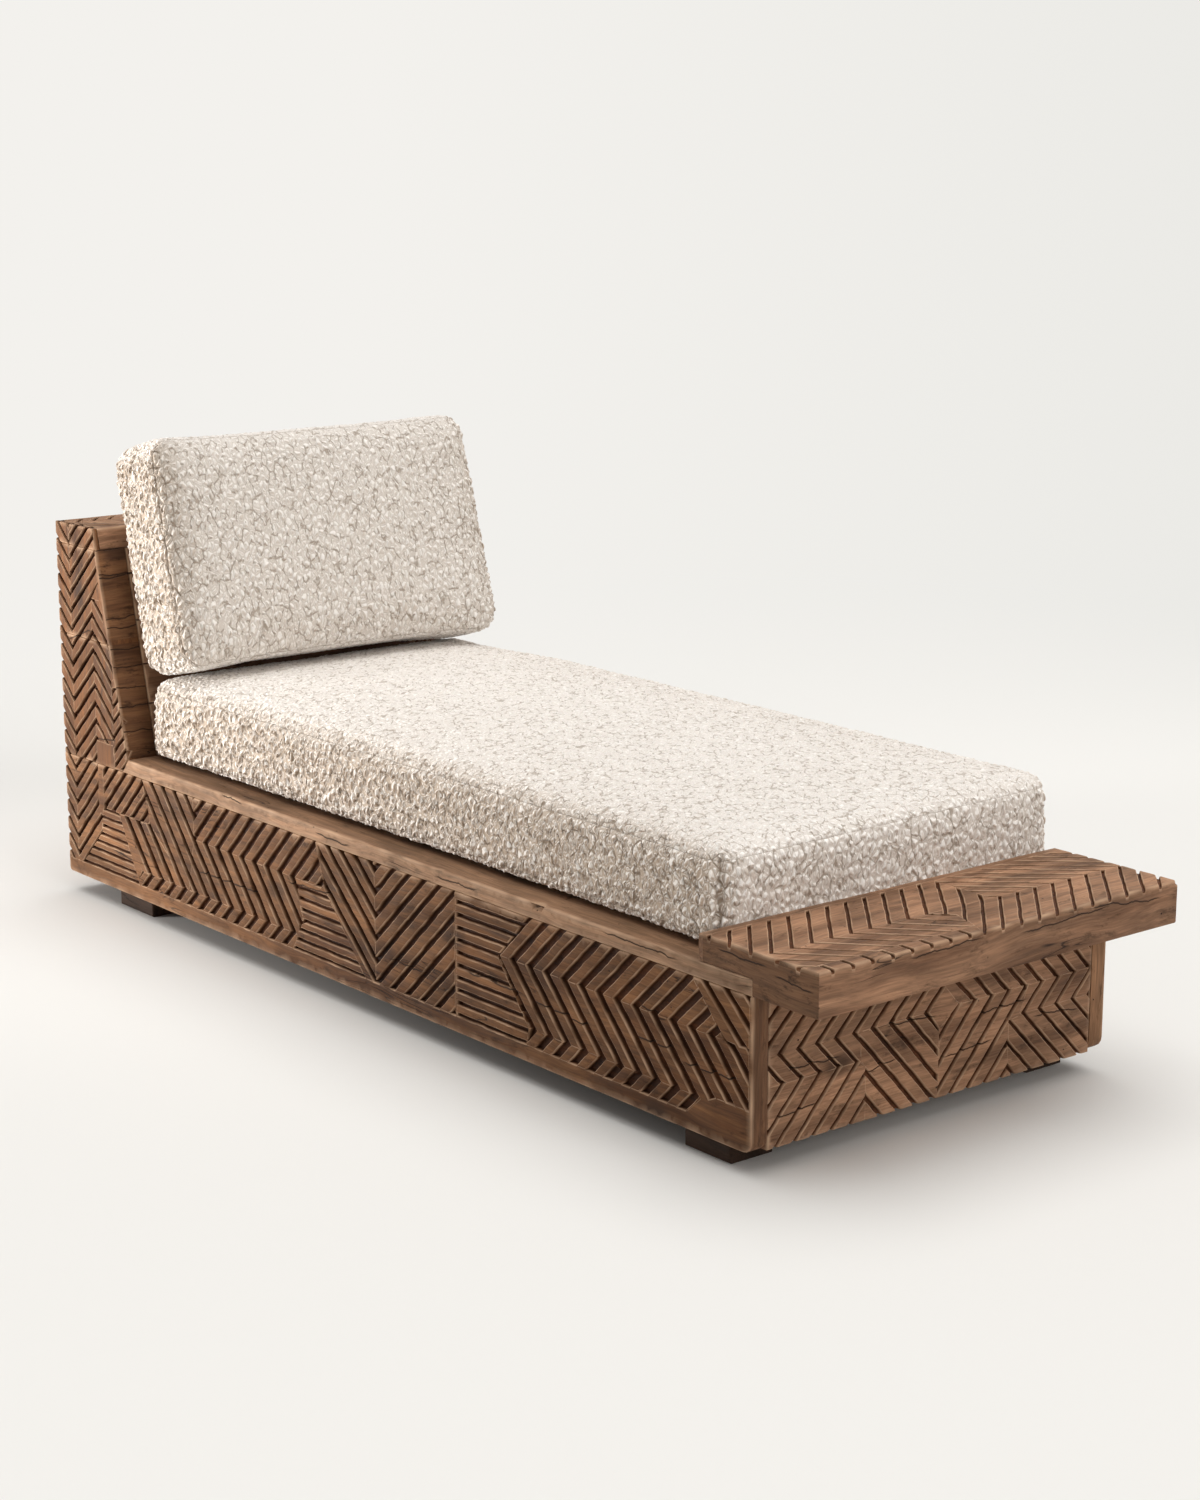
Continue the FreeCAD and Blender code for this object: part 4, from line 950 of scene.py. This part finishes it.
# Head front boards: six boards of uneven height on the slope between the cheeks, with open joints.
front_wood = wood_material("front_wood", turn=(0, 0, 90), shift=(0.7, 0.3, 0.5), smudges=1.4,
                           pale=(0.255, 0.135, 0.075, 1), deep=(0.10, 0.046, 0.024, 1))
front_gap, front_width, front_thickness = 0.0012, 0.664, 0.025
slope_angle = math.atan2(head_foot_depth - head_top_depth, head_height - deck_rise)
slope_up = Vector((-math.sin(slope_angle), 0, math.cos(slope_angle)))
front_joint_shares = (0.0, 0.06, 0.25, 0.44, 0.65, 0.875, 1.0)
for index in range(6):
    low, high = (deck_rise + (cap_rise - deck_rise) * share for share in front_joint_shares[index:index + 2])
    corner = head_corner + Vector((head_depth(low), cheek_thickness, low))
    top, end = (high - low) / math.cos(slope_angle) - front_gap, front_width - front_gap
    outline = [(front_gap, front_gap), (end, front_gap), (end, top), (front_gap, top)]
    board = carved_board(f"head_front_plank_{index + 1}", corner, ACROSS, slope_up, outline, front_thickness,
                         (), front_wood, spacing=0.015, seed=10 + index,
                         splay=lambda place, deep: Vector((0, math.tan(slope_angle) * deep)))
    stands_for(board, f"head_front_board_{index + 1}")

# Head back boards and the board that closes the box under them: plain, nailed on from behind.
back_wood = wood_material("back_wood", turn=(0, 0, 90), shift=(0.9, 0.8, 0.1))
back_board_height = (cap_rise - board_height) / 3
for index in range(3):
    outline = [(0, 0), (front_width, 0), (front_width, back_board_height), (0, back_board_height)]
    corner = Vector((head_x, front_width / 2, side_top_z + back_board_height * index))
    board = carved_board(f"head_back_plank_{index + 1}", corner, -ACROSS, UP, outline, end_board_thickness, (),
                         back_wood, spacing=0.02, seed=20 + index)
    stands_for(board, f"head_back_board_{index + 1}")
base_width = 0.73
base_outline = [(0, 0), (base_width, 0), (base_width, board_height), (0, board_height)]
base_end = carved_board("head_base_plank", Vector((head_x, base_width / 2, base_z)), -ACROSS, UP, base_outline,
                        end_board_thickness, (), back_wood, spacing=0.02, seed=24)
stands_for(base_end, "head_base_board")

# Feet: four short dark blocks, well inside the outline of the box.
foot_block_wood = wood_material("foot_block_wood", shift=(0.1, 0.9, 0.6), pale=(0.050, 0.027, 0.017, 1),
                                deep=(0.024, 0.013, 0.008, 1), carved=False)
foot_inset, foot_width = 0.022, 0.09
for end, start, length, seed in (("head", 0.170, 0.128, 26),
                                 ("tail", board_length - 0.0705 - 0.108, 0.108, 27)):
    outline = [(0, 0), (length, 0), (length, base_z), (0, base_z)]
    block = carved_board(f"near_{end}_foot_block", Vector((head_x + start, near_y + foot_inset, 0)), ALONG, UP,
                         outline, foot_width, (), foot_block_wood, seed=seed, undulation=0.0002)
    far_block = mirror_twin(block, f"far_{end}_foot_block")
    stands_for(block, f"near_{end}_foot")
    stands_for(far_block, f"far_{end}_foot")

# What carries the deck, and the fasteners: rough-sawn battens, posts and planks, split pegs and black iron
# nails, all kept as the solids have them.
inner_wood = wood_material("inner_wood", shift=(0.3, 0.7, 0.3), smudges=0.5, carved=False)
cross_wood = wood_material("cross_wood", turn=(0, 0, 90), shift=(0.6, 0.1, 0.3), smudges=0.5, carved=False)
post_wood = wood_material("post_wood", turn=(0, 90, 0), shift=(0.2, 0.5, 0.8), smudges=0.5, carved=False)
peg_wood = wood_material("peg_wood", turn=(0, 90, 0), pale=(0.36, 0.23, 0.14, 1), smudges=0.3, carved=False)

nail_iron, tree = new_material("nail_iron")
place = add_node(tree, "ShaderNodeTexCoord")
scale_spots = add_node(tree, "ShaderNodeTexNoise",
                       {"Vector": place.outputs["Object"], "Scale": 220.0, "Detail": 3.0})
iron = add_node(tree, "ShaderNodeBsdfPrincipled", {
    "Base Color": (0.03, 0.026, 0.024, 1), "Metallic": 0.9,
    "Roughness": ramp(tree, scale_spots.outputs["Fac"], 0.35, 0.65, 0.45, 0.8)})
add_node(tree, "ShaderNodeOutputMaterial", {"Surface": iron.outputs[0]})


for finish, kept_nodes in (
    (inner_wood, ["near_ledger", "far_ledger"] + [f"deck_plank_{n}" for n in range(1, 5)]),
    (cross_wood, ["head_bottom_beam", "tail_bottom_beam", "foot_top_rail"]
     + [f"bearer_{n}" for n in range(1, 7)]),
    (post_wood, ["near_head_post", "far_head_post", "near_head_batten", "far_head_batten"]),
    (peg_wood, ["foot_pegs", "rail_pegs", "cheek_pegs", "shelf_pegs", "end_board_pegs"]),
    (nail_iron, ["deck_nails", "ledger_nails", "batten_nails", "back_board_nails"]),
):
    for node in kept_nodes:
        for material_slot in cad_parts[node].material_slots:
            material_slot.material = finish

# Seat cushion: one long foam box in a thick off-white boucle of close curled loops. Its edges are soft and its
# top swells a little. It lies flat on the deck. A boxing strip goes round its sides, sewn on along the top and
# the bottom, and joined with a pucker at the near foot corner.
def curled_yarn(tree, place):
    """The height of the yarn's curls at a place, and the bent place that they are drawn on."""
    upright = scaled(tree, wandered(tree, place, 100.0, 1.0, (0.006, 0.006, 0.006)), (1, 1, 0.55))
    loops = add_node(tree, "ShaderNodeTexVoronoi", {"Vector": upright, "Scale": 98.0, "Randomness": 1.0},
                     feature="DISTANCE_TO_EDGE")
    return ramp(tree, loops.outputs["Distance"], 0.0, 0.42), upright


def yarn_gaps(tree, place, upright):
    """The gaps between tufts of curls, where the cover sinks in and the cloth is painted with shade."""
    folds = add_node(tree, "ShaderNodeTexVoronoi", {"Vector": upright, "Scale": 58.0, "Randomness": 1.0},
                     feature="DISTANCE_TO_EDGE")
    tufts = add_node(tree, "ShaderNodeTexNoise", {"Vector": place, "Scale": 62.0, "Detail": 1.0})
    return calc(tree, "MULTIPLY", ramp(tree, folds.outputs["Distance"], 0.02, 0.09, 1, 0),
                ramp(tree, tufts.outputs["Fac"], 0.46, 0.54))


boucle_cloth, tree = new_material("boucle_cloth")
rest_place, seam, corner, loop_relief_and_side_shade, seam_side_shade = (
    add_node(tree, "ShaderNodeAttribute", attribute_name=mark).outputs[kind]
    for mark, kind in (("rest_place", "Vector"), ("seam_gap", "Fac"), ("corner_gap", "Fac"), ("loop_relief_and_side_shade", "Fac"),
                       ("seam_side_shade", "Fac")))
height, upright = curled_yarn(tree, rest_place)
gap = yarn_gaps(tree, rest_place, upright)
# Painted shade on the loops' undersides: the colour darkens where the yarn falls away toward the lower right.
lower = add_node(tree, "ShaderNodeVectorMath", {0: rest_place, 1: (0.0022, 0.0, -0.0028)}, operation="ADD")
underside_shade = ramp(tree, calc(tree, "SUBTRACT", height, curled_yarn(tree, lower.outputs[0])[0]), 0.0, 0.5)
fuzz = add_node(tree, "ShaderNodeTexNoise", {"Vector": rest_place, "Scale": 520.0, "Detail": 2.0,
                                             "Roughness": 0.6}).outputs["Fac"]
strays = add_node(tree, "ShaderNodeTexNoise", {"Vector": rest_place, "Scale": 70.0, "Detail": 1.0})
astray = calc(tree, "SUBTRACT", strays.outputs["Fac"], 0.5)
off_seam = calc(tree, "ABSOLUTE", calc(tree, "MULTIPLY_ADD", astray, 3.0, seam))
seam_line = ramp(tree, off_seam, 0.3, 1.3, 1, 0)
off_corner = calc(tree, "ABSOLUTE", calc(tree, "MULTIPLY_ADD", astray, 0.030, corner))
pucker = ramp(tree, off_corner, 0.0, 0.0065, 1, 0)
# Painted shade in the creases: the gaps between tufts, the seam lines and the corner pucker.
shaded_creases = calc(tree, "MAXIMUM", calc(tree, "MAXIMUM", gap, calc(tree, "MULTIPLY", seam_line, 0.8)), pucker)

# The yarn is off-white all over. Painted shade darkens it in the valleys between loops and on the loops'
# undersides, more on the sides than on top, in the gaps, seams and corner pucker, and in a band beside a seam.
valley_shade_top, valley_shade_sides = (0.91, 0.88, 0.845, 1), (0.44, 0.34, 0.255, 1)
high_flat, high_deep = (0.94, 0.913, 0.884, 1), (0.95, 0.893, 0.835, 1)
underside_shade_tint, fuzz_tint = (0.52, 0.42, 0.335, 1), (0.70, 0.62, 0.53, 1)
crease_shade_tint, seam_side_shade_tint = (0.30, 0.225, 0.160, 1), (0.74, 0.71, 0.67, 1)
colour = tinted(tree, tinted(tree, valley_shade_top, loop_relief_and_side_shade, valley_shade_sides), ramp(tree, height, 0.0, 0.22),
                tinted(tree, high_flat, loop_relief_and_side_shade, high_deep))
colour = tinted(tree, colour, calc(tree, "MULTIPLY", underside_shade, loop_relief_and_side_shade), underside_shade_tint, "MULTIPLY")
colour = tinted(tree, colour, ramp(tree, fuzz, 0.3, 0.7, 0.10, 0), fuzz_tint)
crease_shade_share = calc(tree, "MULTIPLY", shaded_creases, calc(tree, "MULTIPLY_ADD", loop_relief_and_side_shade, 0.45, 0.4))
colour = tinted(tree, colour, crease_shade_share, crease_shade_tint)
colour = tinted(tree, colour, seam_side_shade, seam_side_shade_tint, "MULTIPLY")
bumps = calc(tree, "MULTIPLY_ADD", height, 0.0038, calc(tree, "MULTIPLY", fuzz, 0.0006))
bumps = calc(tree, "MULTIPLY_ADD", shaded_creases, -0.0018, bumps)
bump = add_node(tree, "ShaderNodeBump", {"Height": bumps, "Distance": 1.0,
                                         "Strength": calc(tree, "MULTIPLY_ADD", loop_relief_and_side_shade, 0.7, 0.3)})
cloth = add_node(tree, "ShaderNodeBsdfPrincipled", {
    "Base Color": colour, "Normal": bump.outputs[0], "Roughness": 0.95, "Specular IOR Level": 0.15,
    "Sheen Weight": 0.1, "Sheen Roughness": 0.6})
add_node(tree, "ShaderNodeOutputMaterial", {"Surface": cloth.outputs[0]})


def soft_box(name, size, edge, low_edge, corner, spacing, crown, waist, seam_axis, seam_inset, seam_width,
             puckered):
    """A closed box with soft edges round its middle, crowned on the sides that crown names. Its seams are
    marked, the near foot corner as puckered, or else the front with a band of painted shade beside it."""
    half = Vector(size) / 2
    grid = bmesh.new()
    counts = [max(2, round(side / spacing)) for side in size]
    spots = {}

    def corner_at(index):
        if index not in spots:
            spots[index] = grid.verts.new([half[k] * (2 * index[k] / counts[k] - 1) for k in range(3)])
        return spots[index]

    for axis in range(3):
        one, two = (axis + 1) % 3, (axis + 2) % 3
        for end in (0, counts[axis]):
            for i in range(counts[one]):
                for j in range(counts[two]):
                    ring = []
                    for di, dj in ((0, 0), (1, 0), (1, 1), (0, 1)):
                        index = [0, 0, 0]
                        index[axis], index[one], index[two] = end, i + di, j + dj
                        ring.append(corner_at(tuple(index)))
                    grid.faces.new(ring if end else ring[::-1])
    seam_gaps, corner_gaps, seam_side_shade = [], [], []
    for vert in grid.verts:
        box_place = vert.co.copy()
        seam_gaps.append((half[seam_axis] - seam_inset - abs(box_place[seam_axis])) / seam_width)
        on_near, on_foot = box_place.y < -half.y + 1e-6, box_place.x > half.x - 1e-6
        corner_gaps.append((box_place.x - half.x if on_near else 0) + (box_place.y + half.y if on_foot else 0)
                           if puckered and (on_near or on_foot) else 1.0)
        # Painted shade over the front when not puckered, deepest in a band beside the near seam and toward the
        # top.
        beside = (box_place.y + half.y) / 0.10
        seam_side_shade.append(0.2 + 0.8 * max(0.0, 1 - beside) ** 1.5 * (0.75 + 0.25 * box_place.z / half.z)
                        if on_foot and not puckered else 0.0)
        rise = min(1.0, (box_place.z / half.z + 1) / 1.2)
        turn = low_edge + (edge - low_edge) * rise * rise * (3 - 2 * rise)
        core = Vector([max(-half[k] + turn, min(half[k] - turn, box_place[k])) for k in range(3)])
        away = box_place - core
        if sum(abs(a) > 1e-6 for a in away) > 1:
            vert.co = core + away.normalized() * turn
        one, two = [k for k in range(3) if k != seam_axis]
        out_one, out_two = abs(vert.co[one]) - half[one] + corner, abs(vert.co[two]) - half[two] + corner
        if out_one > 0 and out_two > 0:
            pull = max(out_one, out_two) / math.hypot(out_one, out_two)
            vert.co[one] = math.copysign(half[one] - corner + out_one * pull, vert.co[one])
            vert.co[two] = math.copysign(half[two] - corner + out_two * pull, vert.co[two])
        share = [box_place[k] / half[k] for k in range(3)]
        for axis in range(3):
            one, two = (axis + 1) % 3, (axis + 2) % 3
            swell = crown[axis][0 if share[axis] < 0 else 1] * abs(share[axis]) ** 6
            vert.co[axis] += math.copysign(swell * (1 - share[one] ** 2) ** 0.7 * (1 - share[two] ** 2) ** 0.7,
                                           share[axis])
        vert.co.y -= math.copysign(waist * (1 - share[0] ** 2) * abs(share[1]) ** 3, share[1])
    mesh = bpy.data.meshes.new(name)
    grid.to_mesh(mesh)
    grid.free()
    for mark, values in (("seam_gap", seam_gaps), ("corner_gap", corner_gaps), ("seam_side_shade", seam_side_shade)):
        mesh.attributes.new(mark, "FLOAT", "POINT").data.foreach_set("value", values)
    mesh.shade_smooth()
    piece = bpy.data.objects.new(name, mesh)
    scene.collection.objects.link(piece)
    return piece


def blown_up(piece, pressure, reach):
    """Simulates the cover as cloth held out by its filling, each point kept in reach, to the same size."""
    start = np.array([tuple(vert.co) for vert in piece.data.vertices])
    cover = piece.modifiers.new("cover", "CLOTH")
    cover.settings.quality = 6
    cover.settings.mass = 0.4
    cover.settings.tension_stiffness = cover.settings.compression_stiffness = 12
    cover.settings.shear_stiffness = 6
    cover.settings.bending_stiffness = 1.5
    cover.settings.use_pressure = True
    cover.settings.uniform_pressure_force = pressure
    cover.settings.effector_weights.gravity = 0
    cover.point_cache.frame_start, cover.point_cache.frame_end = 1, 20
    for moment in range(1, 21):
        scene.frame_set(moment)
    shown = piece.evaluated_get(bpy.context.evaluated_depsgraph_get())
    after = np.array([tuple(vert.co) for vert in shown.data.vertices])
    piece.modifiers.clear()
    scene.frame_set(1)
    moved = after - start
    far = np.linalg.norm(moved, axis=1, keepdims=True)
    after = start + moved * np.minimum(1, reach / np.maximum(far, 1e-9))
    low, high = after.min(axis=0), after.max(axis=0)
    after = start.min(axis=0) + (after - low) / (high - low) * (start.max(axis=0) - start.min(axis=0))
    piece.data.vertices.foreach_set("co", after.ravel())
    piece.data.update()


def boucle_loops():
    """A tree that raises curled loops of yarn over a cushion."""
    tree = bpy.data.node_groups.new("boucle_loops", "GeometryNodeTree")
    tree.interface.new_socket("Geometry", in_out="INPUT", socket_type="NodeSocketGeometry")
    tree.interface.new_socket("Rise", in_out="INPUT", socket_type="NodeSocketFloat").default_value = 0.006
    tree.interface.new_socket("Cloth", in_out="INPUT", socket_type="NodeSocketMaterial")
    tree.interface.new_socket("Geometry", in_out="OUTPUT", socket_type="NodeSocketGeometry")
    inputs = add_node(tree, "NodeGroupInput")
    place = add_node(tree, "GeometryNodeInputPosition").outputs[0]
    facing = add_node(tree, "GeometryNodeInputNormal").outputs[0]
    seam_gap, corner_gap, pressed = (
        add_node(tree, "GeometryNodeInputNamedAttribute", {"Name": mark}, data_type="FLOAT").outputs[0]
        for mark in ("seam_gap", "corner_gap", "pressed"))
    height, upright = curled_yarn(tree, place)
    gap = yarn_gaps(tree, place, upright)
    apart = add_node(tree, "ShaderNodeSeparateXYZ", {0: facing})
    # How far the loops stand out by facing: more on the sides than on top. The cloth paints more shade where it
    # is high.
    relief_by_facing = calc(tree, "MULTIPLY_ADD", calc(tree, "ABSOLUTE", apart.outputs["Y"]), 0.45, 0.5)
    relief_by_facing = calc(tree, "MULTIPLY_ADD", calc(tree, "ABSOLUTE", apart.outputs["Z"]), -0.2, relief_by_facing)
    free = calc(tree, "MULTIPLY", calc(tree, "SUBTRACT", 1.0, pressed), relief_by_facing)
    uneven = add_node(tree, "ShaderNodeTexNoise", {"Vector": place, "Scale": 26.0, "Detail": 1.0})
    seam = ramp(tree, calc(tree, "ABSOLUTE", seam_gap), 0.0, 3.0, 1, 0)
    pucker = ramp(tree, calc(tree, "ABSOLUTE", corner_gap), 0.0, 0.016, 1, 0)
    lift = calc(tree, "MULTIPLY", calc(tree, "SUBTRACT", height, 0.5), inputs.outputs["Rise"])
    lift = calc(tree, "MULTIPLY_ADD", gap, -0.0012, lift)
    lift = calc(tree, "MULTIPLY_ADD", calc(tree, "SUBTRACT", uneven.outputs["Fac"], 0.5), 0.007, lift)
    lift = calc(tree, "MULTIPLY_ADD", seam, -0.0028, lift)
    lift = calc(tree, "MULTIPLY_ADD", pucker, -0.0080, lift)
    push = add_node(tree, "ShaderNodeVectorMath", {0: facing, "Scale": calc(tree, "MULTIPLY", lift, free)},
                    operation="SCALE")
    kept = add_node(tree, "GeometryNodeStoreNamedAttribute",
                    {"Geometry": inputs.outputs["Geometry"], "Name": "rest_place", "Value": place},
                    data_type="FLOAT_VECTOR", domain="POINT")
    rated = add_node(tree, "GeometryNodeStoreNamedAttribute",
                     {"Geometry": kept.outputs[0], "Name": "loop_relief_and_side_shade", "Value": relief_by_facing},
                     data_type="FLOAT", domain="POINT")
    moved = add_node(tree, "GeometryNodeSetPosition",
                     {"Geometry": rated.outputs[0], "Offset": push.outputs[0]})
    real = add_node(tree, "GeometryNodeRealizeInstances", {0: moved.outputs[0]})
    dressed = add_node(tree, "GeometryNodeSetMaterial",
                       {"Geometry": real.outputs[0], "Material": inputs.outputs["Cloth"]})
    add_node(tree, "NodeGroupOutput", {0: dressed.outputs[0]})
    return tree


loop_tree = boucle_loops()


def upholstered(piece, levels, rise, pressed):
    """The cushion with its surface raised into loops, but for where it is pressed flat."""
    values = [pressed(vert.co) for vert in piece.data.vertices]
    piece.data.attributes.new("pressed", "FLOAT", "POINT").data.foreach_set("value", values)
    finer = piece.modifiers.new("finer", "SUBSURF")
    finer.levels = finer.render_levels = levels
    loops = piece.modifiers.new("loops", "NODES")
    loops.node_group = loop_tree
    for item in loop_tree.interface.items_tree:
        if item.item_type == "SOCKET" and item.in_out == "INPUT" and item.name != "Geometry":
            loops[item.identifier] = {"Rise": rise, "Cloth": boucle_cloth}[item.name]
    bpy.context.view_layer.update()
    mesh = bpy.data.meshes.new_from_object(piece.evaluated_get(bpy.context.evaluated_depsgraph_get()))
    piece.modifiers.clear()
    piece.data = mesh
    mesh.shade_smooth()


cloth_pressure, cloth_reach, loop_rise, foam_fill = 4.0, 0.009, 0.0055, 0.8
seat_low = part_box("seat_cushion")[0]
seat_size = (1.721, 0.764, 0.168)
seat_middle = Vector((seat_low.x + seat_size[0] / 2, 0.022, 0.3206 + seat_size[2] / 2))
seat_cushion = soft_box("seat_cushion_boucle", seat_size, 0.036, 0.008, 0.040, 0.020,
                        ((0, 0.002), (0.004, 0.004), (0, 0.020)), 0.003, 2, 0.014, 0.0009, True)
blown_up(seat_cushion, cloth_pressure, cloth_reach)
for vert in seat_cushion.data.vertices:
    lifted = min(max((vert.co.x + 0.70) / 0.25, 0.0), 1.0) * (vert.co.y / seat_size[1] + 0.5)
    vert.co.z += 0.010 * lifted * (vert.co.z / seat_size[2] + 0.5)
seat_cushion.data.transform(Matrix.Translation(seat_middle))
for vert in seat_cushion.data.vertices:
    vert.co.z = max(vert.co.z, seat_middle.z - seat_size[2] / 2)
cover_levels = 3
upholstered(seat_cushion, cover_levels, loop_rise,
            lambda co: 1.0 if co.z < seat_middle.z - seat_size[2] / 2 + 0.002 else 0.0)
stands_for(seat_cushion, "seat_cushion", "seat")

# Back cushion: the same foam box and cloth, standing on the seat and leaning on the headboard.
back_size = (0.180, 0.772, 0.458)
back_tilt = math.radians(14.3)
back_cushion = soft_box("back_cushion_boucle", back_size, 0.020, 0.018, 0.046, 0.020,
                        ((0.024, 0.014), (0.004, 0.004), (0.003, 0.004)), 0.003, 0, 0.006, 0.0022, False)
blown_up(back_cushion, cloth_pressure, cloth_reach)
for vert in back_cushion.data.vertices:
    sag = (0.5 - vert.co.z / back_size[2]) * max(0.0, vert.co.y / back_size[1] * 2) ** 2
    vert.co += Vector((0.010, 0.010, -0.005)) * sag
back_corner = Vector((head_x + 0.2703, 0, base_z + 0.4429))
back_forward = Vector((math.cos(back_tilt), 0, math.sin(back_tilt)))
back_up = Vector((-math.sin(back_tilt), 0, math.cos(back_tilt)))
back_middle = back_corner + back_forward * 0.090 + back_up * 0.2275 + Vector((0, 0.013, 0))
back_turn = Matrix((back_forward, ACROSS, back_up)).transposed().to_4x4()
back_cushion.data.transform(Matrix.Translation(back_middle) @ back_turn)
upholstered(back_cushion, cover_levels, loop_rise, lambda co: 0.0)
stands_for(back_cushion, "back_cushion", "back")
